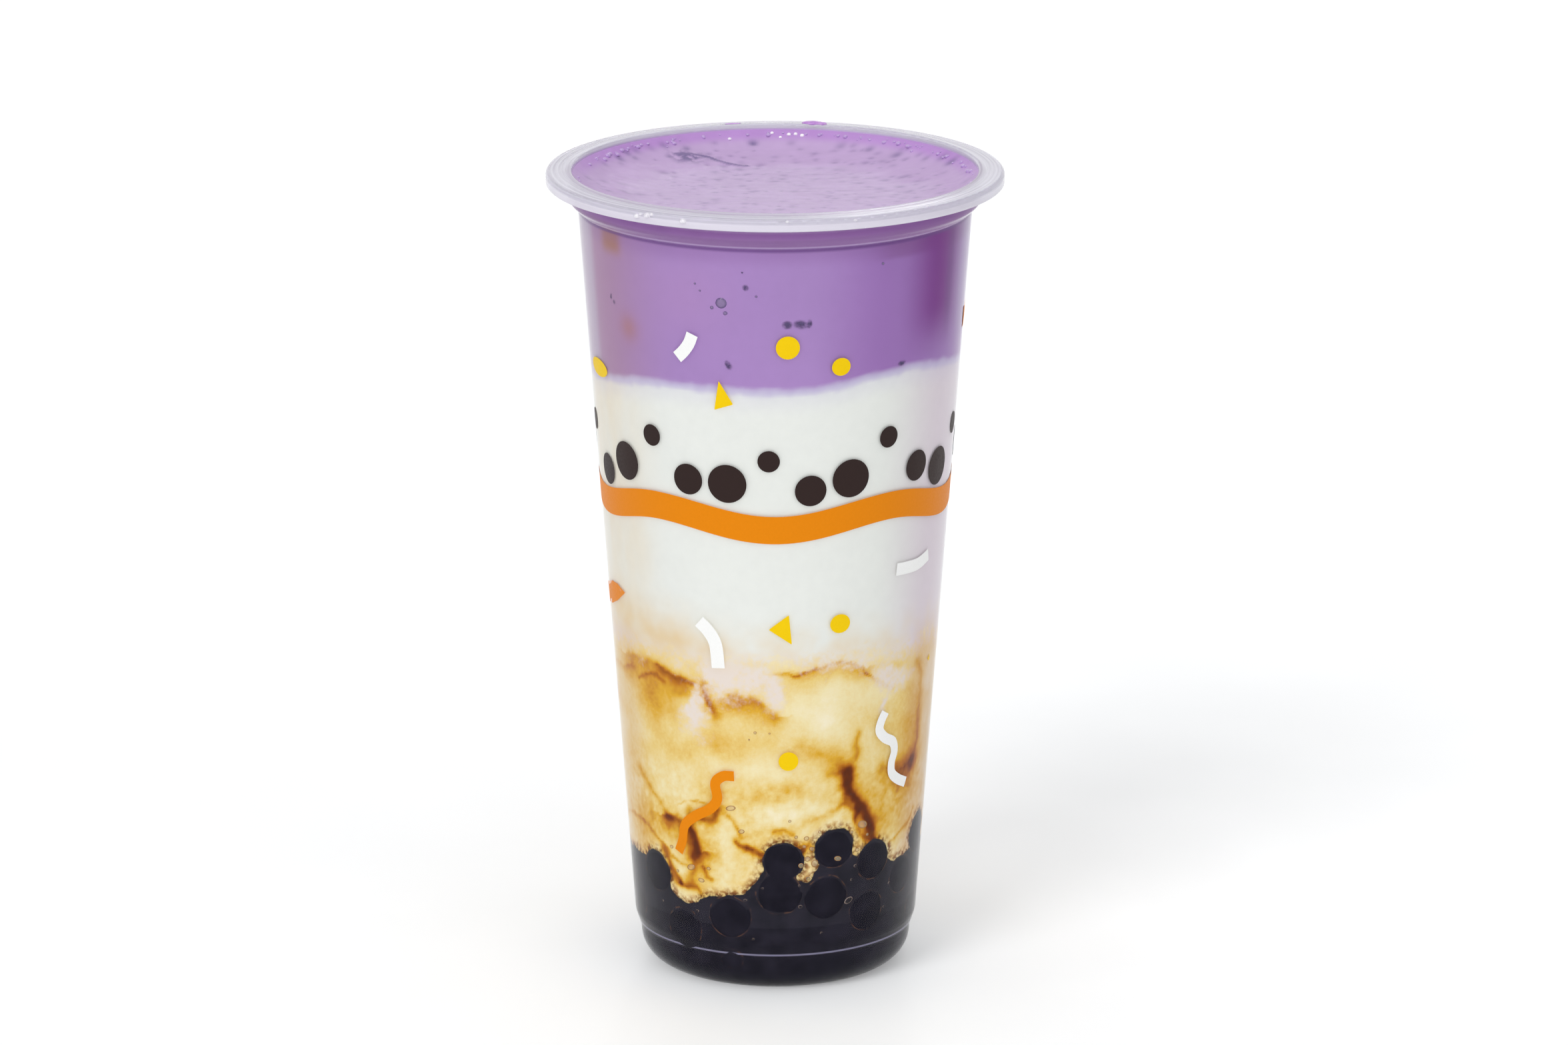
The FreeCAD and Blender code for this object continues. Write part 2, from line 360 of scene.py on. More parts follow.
def cup_material():
    """Clear polypropylene: clear on the body, milky where the rim is thick, with a whiter band on the lip's
    front that is partly frosted plastic and partly a painted highlight. Lamps shine through it.
    """
    m = Material("clear_plastic")
    spot = m.node("ShaderNodeTexCoord").outputs["Object"]
    x, y, height = m.node("ShaderNodeSeparateXYZ", {0: spot}).outputs
    across = m.math("SQRT", m.math("ADD", m.math("MULTIPLY", x, x), m.math("MULTIPLY", y, y)))
    in_rim = m.span(height, 166.4 * MM, 168.4 * MM)
    in_flange = m.span(across, 43.1 * MM, 43.6 * MM)
    rim = m.math("MAXIMUM", in_rim, in_flange)
    # the lip's front band is painted whiter: partly frosted plastic, partly a painted highlight
    lip = m.math("MULTIPLY", m.span(across, 46.3 * MM, 47.0 * MM), m.span(height, 169.9 * MM, 169.4 * MM))
    # moulding lines run round the rim
    ringed = m.node("ShaderNodeCombineXYZ", {
        0: m.math("MULTIPLY", across, 2400.0),
        1: m.math("MULTIPLY", height, 1200.0),
        2: m.math("MULTIPLY", x, 14.0),
    }).outputs[0]
    rings = m.node("ShaderNodeTexNoise", {"Vector": ringed, "Scale": 1.0, "Detail": 2.0}).outputs["Fac"]
    haze = m.math("MULTIPLY", rim, m.span(rings, 0.35, 0.65, 0.42, 0.58))
    haze = m.math("MAXIMUM", haze, m.math("MULTIPLY", lip, 0.7))
    ringed_tone = m.ramp(rings, ((0.35, (212, 208, 220)), (0.65, (228, 226, 236))))
    frost_and_lip_highlight = m.mix(lip, ringed_tone, linear(236, 232, 242))
    plastic = m.principled({
        "Base Color": m.mix(rim, (0.985, 0.985, 0.99), frost_and_lip_highlight),
        "Roughness": m.span(rim, 0.0, 1.0, 0.015, 0.12),
        "IOR": 1.3,
        "Specular Tint": (0.01, 0.01, 0.012, 1),
        "Transmission Weight": m.math("SUBTRACT", 1.0, haze),
        "Normal": m.bump(m.math("MULTIPLY", rings, rim), 0.05),
    })
    lets_lamps_through = m.node("ShaderNodeBsdfTransparent", {"Color": (0.97, 0.97, 0.975, 1)}).outputs[0]
    path = m.node("ShaderNodeLightPath").outputs
    light = m.math("MAXIMUM", path["Is Shadow Ray"], path["Is Diffuse Ray"])
    m.finish(m.node("ShaderNodeMixShader", {0: light, 1: plastic, 2: lets_lamps_through}).outputs[0])
    return m.material


def painted_material(name, roughness=0.45, bump_depth=0.0, specular=0.04):
    """A liquid or foam whose colour is in the mesh's "paint" field, with fine mottling."""
    m = Material(name)
    mottle = m.span(m.noise(2.2, 5), 0.3, 0.7, 0.988, 1.012, "LINEAR")
    painted = m.node("ShaderNodeVectorMath", {0: m.field("paint", "Color"), 3: mottle}, operation="SCALE")
    inputs = {
        "Base Color": painted.outputs[0],
        "Roughness": m.uneven(1.4, 3, roughness - 0.06, roughness + 0.06),
        "Specular IOR Level": specular,
    }
    if bump_depth:
        inputs["Normal"] = m.bump(m.noise(1.6, 3, (1, 1.6, 1)), bump_depth)
    return m.made_of(inputs)


def near_black(m, lift=0):
    """Tones that the dark pieces share. The syrup is lifted to be a little lighter than the pearls."""
    low = (30 + lift, 29 + lift, 37 + lift)
    high = (40 + lift, 38 + lift, 48 + lift)
    return m.ramp(m.noise(4.0, 2), ((0.3, low), (0.7, high)))


def with_rims(m, colour):
    """Thin broken brown lines round pearls at the wall, from the "rim" field (mm past a pearl's edge)."""
    rim = m.math("ABSOLUTE", m.math("SUBTRACT", m.field("rim"), 0.18))
    line = m.span(rim, 0.22, 0.06)
    broken = m.span(m.noise(2.2, 3), 0.48, 0.62, 0.04, 0.6)
    return m.mix(m.math("MULTIPLY", line, broken), colour, linear(104, 74, 58))


def marbled_material():
    """Milk, brown sugar streaks and the dark syrup round the pearls, from the fields on the mesh, with
    painted shade at the sides.
    """
    m = Material("marbled_milk")
    wisp = m.noise(1.0, 5)
    speckle = m.noise(0.4, 3)
    swirl = m.ramp(m.shaken(m.shaken(m.field("syrup"), wisp, 0.035), speckle, 0.02), (
        (0.0, (253, 243, 214)), (0.16, (247, 231, 180)), (0.32, (240, 210, 132)), (0.47, (228, 176, 58)),
        (0.62, (196, 122, 34)), (0.80, (132, 64, 26)), (1.0, (64, 34, 28)),
    ))
    milk = m.span(m.shaken(m.field("milk"), wisp, 0.38), -0.3, 0.95)
    colour = m.mix(milk, swirl, m.field("white", "Color"))
    # painted shade at the sides of the marbling
    colour = m.mix(1.0, colour, m.field("side_shade", "Color"), "MULTIPLY")
    dark = m.shaken(m.field("dark"), m.noise(1.2, 2), 0.16)
    halo = m.ramp(m.span(dark, -2.4, 0.1, 0.0, 1.0, "LINEAR"), (
        (0.0, (216, 154, 58)), (0.6, (150, 80, 32)), (1.0, (70, 36, 28)),
    ))
    near_dark = m.math("MULTIPLY", m.span(dark, -2.4, -0.2), m.span(wisp, 0.38, 0.62, 0.15, 0.95))
    colour = m.mix(near_dark, colour, halo)
    colour = m.mix(m.span(dark, -0.12, 0.12), colour, with_rims(m, near_black(m, 8)))
    return m.made_of({
        "Base Color": colour,
        "Roughness": m.span(speckle, 0.3, 0.7, 0.42, 0.52),
        "Specular IOR Level": 0.04,
    })


def syrup_material():
    """Dark syrup, with a painted highlight of the cup's step across it."""
    m = Material("dark_syrup")
    height = m.node("ShaderNodeSeparateXYZ", {0: m.node("ShaderNodeTexCoord").outputs["Object"]}).outputs[2]
    # a painted highlight: a pale line where the cup's step catches the light
    above = m.span(height, 8.45 * MM, 8.65 * MM)
    under = m.span(height, 9.05 * MM, 8.85 * MM)
    glint = m.math("MULTIPLY", m.math("MULTIPLY", above, under), 0.75)
    return m.made_of({
        "Base Color": m.mix(glint, with_rims(m, near_black(m, 4)), linear(150, 146, 172)),
        "Roughness": m.uneven(2.4, 4, 0.5, 0.6),
        "Specular IOR Level": 0.0,
    })


def pearl_material():
    """Cooked tapioca: nearly black, with a soft sheen under the plastic."""
    m = Material("tapioca")
    return m.made_of({
        "Base Color": near_black(m),
        "Roughness": m.uneven(2.4, 4, 0.4, 0.5),
        "Specular IOR Level": 0.0,
    })


def ink_material(name, colour):
    """Opaque printing ink with a slight unevenness."""
    m = Material(name)
    dusty = m.noise(0.5, 3)
    return m.made_of({
        "Base Color": m.mix(m.span(dusty, 0.3, 0.7, 0.0, 0.16), linear(*colour), linear(*colour) * 0.86),
        "Roughness": m.span(dusty, 0.3, 0.7, 0.4, 0.5),
        "Specular IOR Level": 0.12,
    })


def bubble_material(name, rim, middle, clear=0.8):
    """A bubble against the wall: an outline round a middle that shows what is behind it."""
    m = Material(name)
    outline = m.span(m.field("edge"), 0.5, 0.92)
    return m.made_of({
        "Base Color": m.mix(outline, linear(*middle), linear(*rim)),
        "Roughness": m.uneven(0.6, 2, 0.08, 0.14),
        "Alpha": m.span(outline, 0.0, 1.0, 1 - clear, 0.85),
    })


def speck_material():
    """Smudges of dark ube in the milk, fading out at their edges."""
    m = Material("ube_speck")
    grain = m.noise(0.7, 3)
    return m.made_of({
        "Base Color": m.mix(grain, linear(70, 60, 96), linear(104, 92, 130)),
        "Roughness": m.span(grain, 0.3, 0.7, 0.4, 0.5),
        "Specular IOR Level": 0.04,
        "Alpha": m.math("MULTIPLY", m.span(m.field("edge"), 1.0, 0.25), m.span(grain, 0.3, 0.6, 0.3, 0.85)),
    })


def foam_material():
    """Bubbles of ube foam, with a painted sheen at their outlines. The ones marked for it are painted nearly
    white as highlights.
    """
    m = Material("foam_bubble")
    # a painted sheen: lighter where the bubble is seen edge-on
    edge_sheen = m.node("ShaderNodeLayerWeight", {"Blend": 0.35}).outputs["Facing"]
    tone = m.mix(m.span(edge_sheen, 0.1, 0.8), linear(176, 140, 202), linear(214, 200, 230))
    return m.made_of({
        # painted highlights: the bubbles marked for it are nearly white
        "Base Color": m.mix(m.field("bright"), tone, linear(250, 246, 252)),
        "Roughness": m.uneven(0.8, 2, 0.06, 0.12),
        "Coat Weight": 0.6,
        "Coat Roughness": 0.04,
    })


def ube_drop_material():
    m = Material("ube_drop")
    return m.made_of({
        "Base Color": m.mix(m.uneven(1.5, 3), linear(178, 122, 202), linear(196, 148, 214)),
        "Roughness": m.uneven(2.0, 2, 0.14, 0.22),
    })


def water_bead_material():
    m = Material("water_bead")
    return m.made_of({
        # painted highlight: the water is nearly white and half clear
        "Base Color": m.mix(m.noise(0.6, 2), linear(240, 236, 244), linear(252, 250, 254)),
        "Roughness": m.uneven(0.8, 2, 0.04, 0.1),
        "Alpha": m.uneven(0.5, 2, 0.55, 0.85),
    })


# ---- Boundaries between the layers ------------------------------------------
# Where ube milk meets white milk at the wall: bearing, height.
UBE_LINE = (
    (-180, 133.8), (-150, 132.0), (-120, 130.8), (-90, 129.6), (-75, 129.4), (-60, 131.0), (-50, 131.8),
    (-38, 132.8), (-25, 133.0), (0, 132.5), (12, 132.8), (20, 133.5), (30, 134.5), (47, 135.4), (60, 134.2),
    (80, 132.0), (115, 130.6), (150, 133.0), (180, 133.8),
)
# The outline of the dark syrup and pearls at the wall: bearing, height.
DARK_LINE = (
    (-180, 26.0), (-172, 28.0), (-164, 27.0), (-158, 24.0), (-150, 24.6), (-142, 23.4), (-134, 20.4),
    (-124, 21.0), (-118, 24.6), (-108, 26.8), (-100, 25.6), (-93, 24.0), (-85, 25.0), (-75, 26.0),
    (-68, 26.4),
    (-62, 26.2), (-50, 26.6), (-47.5, 24.6), (-46.3, 21.0), (-43, 19.3), (-38, 18.6), (-33, 19.2),
    (-30, 20.6),
    (-27, 21.3), (-20, 21.6), (-12, 22.6), (-9, 24.5), (-6, 27.0), (-3, 28.6), (3, 29.0), (7, 28.0),
    (9, 25.6),
    (13.5, 25.2), (16, 27.4), (19, 30.0), (27, 30.8), (30, 30.6), (33, 29.6), (37, 29.0), (45, 29.0),
    (49, 28.4), (52, 26.4), (54.5, 25.8), (57, 26.6), (60, 26.6), (65, 27.0), (75, 27.4), (85, 27.0),
    (93, 27.6), (100, 26.6), (108, 28.4), (117, 28.6), (124, 25.6), (134, 21.8), (142, 23.5), (150, 26.0),
    (158, 25.4), (166, 27.6), (174, 28.0), (180, 26.0),
)
# Pearls seen at the wall, the back's made up to match: bearing, height of the centre, radius.
SEEN_PEARLS = (
    (-84, 22.0, 5.0), (-54.5, 24.0, 5.4), (-18.5, 17.2, 5.7), (3.0, 30.0, 4.9), (1.5, 23.0, 5.9),
    (23.5, 32.2, 5.3), (20.5, 21.6, 5.8), (41.8, 28.0, 5.2), (39.5, 17.0, 5.2), (60, 22.4, 4.9),
    (73.5, 29.8, 5.2), (-40, 13.2, 5.2), (-74, 15.0, 5.1), (95, 27.6, 5.2), (114, 28.4, 5.0),
    (152, 25.8, 5.2),
    (170, 28.2, 5.0), (-166, 27.0, 5.2), (-147, 23.6, 5.0), (-109, 26.0, 5.2),
)


def settled_pearls(seed=5):
    """All pearls as (bearing, radius, height, size): the seen ones, then more at the wall and inside."""
    rng = np.random.default_rng(seed)
    pearls = [(b, float(inner_radius(z)) + INTO_WALL - r + PRESSED, z, r) for b, z, r in SEEN_PEARLS]

    def offer(bearing, radius, z, size, crowding=0.84):
        spot = place(bearing, radius, z)
        for b, other_radius, height, other_size in pearls:
            if np.linalg.norm(spot - place(b, other_radius, height)) < crowding * (size + other_size):
                return
        pearls.append((bearing, radius, z, size))

    for z in np.arange(7.4, 27, 0.9):
        for _ in range(70):
            size = rng.uniform(4.5, 5.3)
            bearing = rng.uniform(-180, 180)
            if z + size * 0.8 < line_height(bearing, DARK_LINE):
                lift = max(z, FLOOR_HEIGHT + size)
                radius = float(inner_radius(lift)) - size + rng.uniform(0.3, 1.9)
                offer(bearing, radius - max(0, 9 - lift) * 0.5, lift, size)
    for z in np.arange(7.4, 25, 1.4):
        for _ in range(40):
            size = rng.uniform(4.5, 5.3)
            offer(rng.uniform(-180, 180), rng.uniform(0, 20), max(z, FLOOR_HEIGHT + size), size)
    return pearls


PEARLS = settled_pearls()


def past_pearls(bearing, z):
    """How far wall points lie past the nearest pearl's flat spot, in mm, and past the nearest seen one's."""
    nearest = np.full(bearing.shape, 9.0)
    seen = nearest
    for i, (b, radius, height, size) in enumerate(PEARLS):
        flat = size - (radius + size - float(inner_radius(height)) - INTO_WALL)
        if flat < size:
            u = np.radians((bearing - b + 180) % 360 - 180) * inner_radius(z)
            nearest = np.minimum(nearest, np.hypot(u, z - height) - math.sqrt(size ** 2 - flat ** 2))
            if i < len(SEEN_PEARLS):
                seen = nearest
    return nearest, seen


# ---- Marbling ---------------------------------------------------------------
# Streaks of brown sugar: strength, reach above, reach below (mm), path of (bearing, height).
STREAKS = (
    (0.22, 0.9, 4.4, ((-64, 70), (-56, 70.5), (-47, 70.3), (-40, 69.2), (-33, 68.2), (-26, 68.2))),
    (0.20, 0.6, 0.9, ((-47, 70.2), (-41, 69.4), (-36, 68.4), (-30, 68.0))),
    (0.18, 0.35, 0.4, ((-59, 66.8), (-53, 67.8), (-47, 68.3), (-43, 67.2))),
    (0.14, 0.4, 1.2, ((-90, 65.8), (-78, 66.6), (-70, 66.8), (-66, 67.8), (-62, 68.6))),
    (0.36, 1.0, 2.8, ((-16, 66.2), (-10, 66.0), (-5, 64.8), (0, 62.6))),
    (0.34, 1.3, 1.8, ((-26, 67), (-24, 64.5), (-22.5, 62.5))),
    (0.30, 0.3, 0.5, (
        (0, 71), (8, 71.2), (14, 72.6), (21, 73.4), (27, 73.0), (32, 72.0), (34.5, 69.6), (39, 67.6),
        (46, 66.2),
    )),
    (0.26, 0.4, 2.8, ((13, 72.2), (20, 73), (27, 72.8), (32, 71.6))),
    (0.20, 2.0, 3.0, ((9, 56), (16, 54), (24, 51.5))),
    (0.28, 1.0, 1.0, ((31.5, 57), (31, 54.5), (31.5, 52))),
    (0.22, 1.6, 1.6, ((20, 48.8), (25, 49.3), (28, 48))),
    (0.68, 1.7, 1.9, ((28.5, 48.5), (28.5, 46), (30, 43.2), (32.5, 41.4), (36, 39.6), (39, 36.6),
        (40.5, 33.0))),
    (0.30, 0.8, 0.8, ((33, 39.5), (32, 37), (33.5, 34.5), (37, 33.8))),
    (0.30, 1.6, 2.2, ((44, 48.4), (50, 47.2), (56, 46.2), (61, 47.5))),
    (0.22, 1.2, 1.4, ((61, 69), (65, 66), (65.5, 58), (65, 51), (62, 45.5))),
    (0.22, 0.35, 0.5, ((50.5, 30.6), (56, 31.6), (62, 33), (67, 36))),
    (0.20, 0.35, 0.6, ((-90, 30), (-80, 33), (-70, 34.4), (-62, 34.1), (-54, 32.4), (-48, 30.3),
        (-45, 28.2))),
    (0.20, 0.8, 1.0, ((-62, 46), (-54, 41.5), (-47, 38.6), (-43, 36.8))),
    (0.46, 1.2, 2.8, ((-45, 37.4), (-40, 37.2), (-35, 36.6), (-32.5, 34), (-32, 30.5))),
    (0.42, 1.4, 1.6, ((-31, 38.6), (-27, 38.2), (-24, 38.6), (-22.5, 40.5))),
    (0.22, 0.22, 0.22, ((-40, 40.9), (-36, 42), (-30, 42.3), (-25, 41.4))),
    (0.28, 0.6, 0.6, ((-18, 39.6), (-15, 38), (-12.5, 35.4))),
    (0.44, 0.8, 1.0, ((-15, 34.2), (-12, 33), (-8, 32.2), (-4, 31))),
    (0.46, 1.0, 1.2, ((-48.5, 29.3), (-46, 26.6), (-43.5, 24.2), (-40.5, 22.6))),
    (0.28, 0.7, 0.9, ((-41, 22.6), (-37, 22.4), (-33, 22.8), (-30.5, 21.5))),
    (0.24, 0.4, 0.4, ((-44, 28.4), (-41, 27.4), (-37, 27.2))),
    (0.24, 1.4, 1.4, ((-34.5, 40), (-33.5, 33), (-34.5, 27), (-35.5, 23.5))),
    (0.30, 0.5, 0.6, ((-30.5, 27.4), (-28, 25.8), (-25.5, 25.2))),
    (0.30, 0.8, 0.8, ((0, 36.4), (4, 37.2), (7, 36.4))),
    (0.22, 0.9, 0.9, ((12, 38.4), (17, 39.6), (22, 40.6), (27, 41.5))),
    (0.30, 0.8, 0.8, ((8.5, 33), (10.5, 31), (12.5, 33.5), (15, 33))),
)
# Broad zones: change of syrup, bearing, height, reach across, reach up and down (mm).
ZONES = (
    (0.15, -49, 63, 7, 7), (0.08, -36, 66, 3, 2), (0.08, -60, 73, 6, 3), (-0.08, -45, 46, 8, 4),
    (0.08, -12, 56, 6, 4), (-0.12, -4, 50, 7, 3), (-0.12, 12, 63, 9, 7), (-0.10, 22, 62, 6, 5),
    (0.16, 112, 60, 9, 6), (-0.12, 132, 50, 9, 6), (0.16, 158, 62, 9, 6), (-0.12, 176, 42, 9, 5),
    (0.14, -166, 58, 8, 7), (-0.12, -146, 48, 9, 6), (0.16, -124, 63, 8, 6), (0.10, -104, 46, 8, 6),
    (-0.12, 96, 42, 8, 5), (0.20, 60, 52, 5, 10), (0.14, 46, 40, 7, 5), (0.15, -60, 34, 8, 7),
    (-0.12, 14, 50, 5, 4), (0.14, 61, 42, 4, 6), (0.10, -25, 57, 3, 4), (-0.16, -19, 33, 2.2, 6),
    (-0.14, 4, 41, 7, 1.8), (-0.14, -41, 26, 2.2, 1.6), (-0.16, -38, 20.6, 4, 1.5), (0.08, -25, 31, 4, 3),
    (0.06, 2, 46, 10, 3),
)
# Clouds of white milk: strength, bearing, height, reach across, reach up and down (mm).
CLOUDS = (
    (1.0, -29.5, 62.5, 2.6, 6.0), (0.62, -28.8, 58.0, 1.4, 3.0), (1.2, -19, 71.5, 5.0, 5.5),
    (1.0, -9, 70, 5.5, 3.8),
    (0.9, -1, 67.5, 3.2, 3.8), (0.9, 42, 68.5, 4.0, 3.4), (0.8, 43, 62.5, 1.5, 3.5),
    (0.8, 50, 68, 5.0, 2.5),
    (1.0, 103, 70, 5.0, 3.5), (0.9, 109, 65, 2.2, 4.5), (1.1, 148, 71, 6.0, 4.0),
    (0.9, 156, 65.5, 2.4, 4.0),
    (1.0, -158, 70, 5.0, 4.5), (1.1, -112, 70.5, 6.0, 4.0), (0.9, -119, 64, 2.2, 4.5),
)


def back_streaks(count=15, seed=8):
    """Streaks for the side away from the photograph, in the same manner as the front's."""
    rng = np.random.default_rng(seed)
    streaks = []
    for i in range(count):
        high = i % 3 == 0
        bearing = 84 + 170 * (i + rng.uniform(0.1, 0.9)) / count
        height = rng.uniform(65, 72) if high else rng.uniform(31, 60)
        lean = rng.uniform(-0.9, 0.9) if high else rng.uniform(-3, 3)
        path = []
        for _ in range(int(rng.integers(5, 9))):
            path.append((bearing, height))
            bearing += rng.uniform(2.5, 5.5)
            height += lean
            lean += rng.uniform(-1.3, 1.3)
        streaks.append((rng.uniform(0.18, 0.42), rng.uniform(0.7, 1.6), rng.uniform(1.2, 3.4), tuple(path)))
    return tuple(streaks)


def drift(p, coarse, seed):
    """How far the marbling is pulled along at each point, in mm."""
    fine = 0.6 * lattice_noise(p, 3.5, seed + 1) + 0.28 * lattice_noise(p, 1.3, seed + 2)
    return coarse * lattice_noise(p, 9, seed) + fine


def from_spot(u, z, bearing, height, across, tall):
    """Square of the distance from a spot on the unrolled wall, 1 where its reach ends."""
    return ((u - unroll(bearing)) / across) ** 2 + ((z - height) / tall) ** 2


def syrup_field(bearing, z, p, du, dz, grain):
    """How much brown sugar is in the milk at wall points."""
    u, zz = unroll(bearing) + du, z + dz
    dragged = np.stack([p[:, 0], p[:, 1], zz * 1.6], axis=1) + du[:, None]
    syrup = 0.27 + 0.11 * lattice_noise(dragged, 11, 31)
    syrup += 0.08 * layered_noise(np.stack([p[:, 0], p[:, 1], zz], axis=1), 4.5, 32)
    curdled = band(z, 52, 44, 30, 16)
    syrup += (0.11 * curdled + 0.012) * grain
    for strength, up, down, path in STREAKS + back_streaks():
        middle = sum(b for b, h in path) / len(path)
        reach = 14 + max(abs(b - middle) for b, h in path)
        near = np.abs((bearing - middle + 180) % 360 - 180) < reach
        turned = [(b - middle, h) for b, h in path]
        distance, below = path_distance(unroll(bearing[near] - middle) + du[near], zz[near], turned)
        syrup[near] += strength * np.exp(-(distance / np.where(below > 0, down, up)) ** 1.5)
    for amount, *spot in ZONES:
        syrup += amount * np.exp(-from_spot(u, zz, *spot))
    return np.minimum(syrup, 0.92)


def milk_field(bearing, z, p, du, dz, grain):
    """How far wall points lie in the white milk above the marbling or in one of its clouds."""
    u, zz = unroll(bearing) + 2.4 * du, z + 2.3 * dz
    milk = (zz - 71.5 - 1.6 * lattice_noise(p, 12, 51) - 1.0 * lattice_noise(p, 4, 52)) / 5
    for strength, *spot in CLOUDS:
        milk = np.maximum(milk, 1.45 * strength * np.exp(-0.9 * from_spot(u, zz, *spot)) - 0.5)
    return milk + 0.16 * grain


def dark_fields(bearing, z, p):
    """How far wall points lie inside the dark outline and past the nearest pearl's edge, in mm."""
    u = unroll(bearing) + 0.35 * lattice_noise(p, 3, 61)
    zz = z + 0.35 * lattice_noise(p, 3, 62)
    moved = np.degrees(u / MARBLE_RADIUS)
    distance, _ = path_distance(u, zz, DARK_LINE)
    dark = np.where(zz < line_height(moved, DARK_LINE), distance, -distance)
    rim, seen = past_pearls(moved, zz)
    return np.maximum(dark, 0.25 - seen), rim


def marbling(bearing, z):
    """Fields of the marbled milk at wall points."""
    p = place(bearing, MARBLE_RADIUS, z)
    du, dz = drift(p, 0.7, 11), drift(p, 0.6, 21)
    grain = layered_noise(p, 1.6, 41)
    syrup = syrup_field(bearing, z, p, du, dz, grain)
    milk = milk_field(bearing, z, p, du, dz, grain)
    syrup -= 0.5 * smooth(milk, -0.25, 0.35) * np.clip(syrup - 0.3, 0, 1)
    dark, rim = dark_fields(bearing, z, p)
    # painted shade at the sides: pinkish on the left, deeper and more magenta on the right
    left = (band(bearing, -50, -66, -100, -150) * smooth(z, 80, 70))[:, None]
    right = (band(bearing, 50, 64, 100, 140) * smooth(z, 80, 70))[:, None]
    side_shade = 1 - left * (1 - np.array([0.92, 0.86, 0.94])) - right * (1 - np.array([0.87, 0.77, 0.88]))
    return {"syrup": syrup, "milk": milk, "dark": dark, "rim": rim, "side_shade": side_shade}


# ---- Colours at the wall ----------------------------------------------------
MILK_INSIDE = linear(236, 232, 226)


def milk_paint(bearing, z):
    """The white milk's colour: creamy left and low down, with painted shade to the right, and ube above its
    line.
    """
    p = place(bearing, MARBLE_RADIUS, z)
    slow = layered_noise(p, 14, 71)
    white = linear(238, 240, 234) * (1 + 0.015 * slow)[:, None]
    creamy = band(bearing, -36, -62, -130, -180) * (0.6 + 0.5 * layered_noise(p * (1, 1, 0.4), 7, 73))
    white = blend(white, linear(238, 226, 202), creamy)
    # painted shade: greyer and cooler towards the right
    white = blend(white, linear(226, 214, 222), band(bearing, 34, 66, 100, 160))
    leftish = band(bearing, 10, -50, -130, -180)
    haze = smooth(z + 3 * slow - 4 * leftish, 85, 73) * (0.4 + 0.4 * leftish + 0.6 * layered_noise(p, 6, 74))
    white = blend(white, linear(234, 210, 168), haze.clip(0, 1))
    white = blend(white, linear(238, 225, 214), smooth(z, 78, 70))
    line = line_height(bearing, UBE_LINE) + 0.45 * layered_noise(p, 7, 72) + 0.35 * layered_noise(p, 2.4, 75)
    ube = smooth(z, line - 1.5, line + 1.3)
    mingled = 2 * ube * (1 - ube) + 0.25 * smooth(z, line - 6, line) * (1 - ube)
    return blend(blend(white, ube_paint(bearing, z), ube), linear(196, 188, 222), mingled)


def ube_paint(bearing, z):
    """The ube milk's colour at the wall: dusty violet with brownish and lighter patches, painted shade to the
    right and near the top, a painted magenta band of shade and painted reflections down both sides.
    """
    slow = layered_noise(place(bearing, 40.0, z), 22, 81)
    violet = linear(172, 138, 196) * (1 + 0.05 * slow)[:, None]

    def patch(at, height, wide, tall, power=2):
        return np.exp(-(((bearing - at) / wide) ** power + ((z - height) / tall) ** power))

    # painted shade near the top on the right, below the ledge
    shade = band(bearing, 26, 40, 70, 112) * smooth(z + 0.6 * slow, 158.4, 159.6)
    tones = (
        (0.25 * patch(-28, 152, 14, 9), (188, 146, 192)),
        # a painted reflection: a brownish haze over the left side
        (0.65 * band(bearing, -30, -62, -120, -170), (170, 132, 150)),
        (patch(-56.5, 161.5, 5, 3.4, 4), (168, 122, 104)),
        (0.7 * patch(-50, 143, 4, 2.8), (172, 122, 124)),
        # painted shade: darker towards the right, and darker still near the top
        (0.6 * band(bearing, 8, 36, 70, 130), (150, 104, 176)),
        (0.7 * shade + 0.3 * smooth(z, 158, 162), (142, 100, 158)),
        # painted shade: a deep magenta band on the right, then a dark line and a pale band, the painted edge
        # of a reflection
        (0.95 * band(bearing, 38, 58, 58, 82) * smooth(z, 134, 148), (120, 46, 134)),
        (0.35 * smooth(np.abs(bearing - 64), 4.0, 0.3) * smooth(z, 136, 148), (100, 54, 122)),
        (0.5 * band(bearing, 63, 80, 82, 110) * smooth(z, 134, 148), (172, 158, 196)),
        # a painted reflection: a pale band on the left
        (0.55 * band(bearing, -66, -72, -88, -100), (190, 182, 202)),
        # a painted shadow line under the ledge below the rim, a thin painted highlight line on the ledge, and
        # painted shade over the neck above it
        (0.8 * smooth(np.abs(z - 162.75), 0.75, 0.2), (112, 76, 136)),
        (0.8 * smooth(z, 163.3, 163.7), (152, 114, 166)),
        (0.6 * smooth(np.abs(z - 163.5), 0.25, 0.08), (204, 182, 218)),
        (0.8 * smooth(z, 164.8, 166.2), (128, 84, 146)),
    )
    for share, tone in tones:
        violet = blend(violet, linear(*tone), np.clip(share, 0, 1))
    return violet


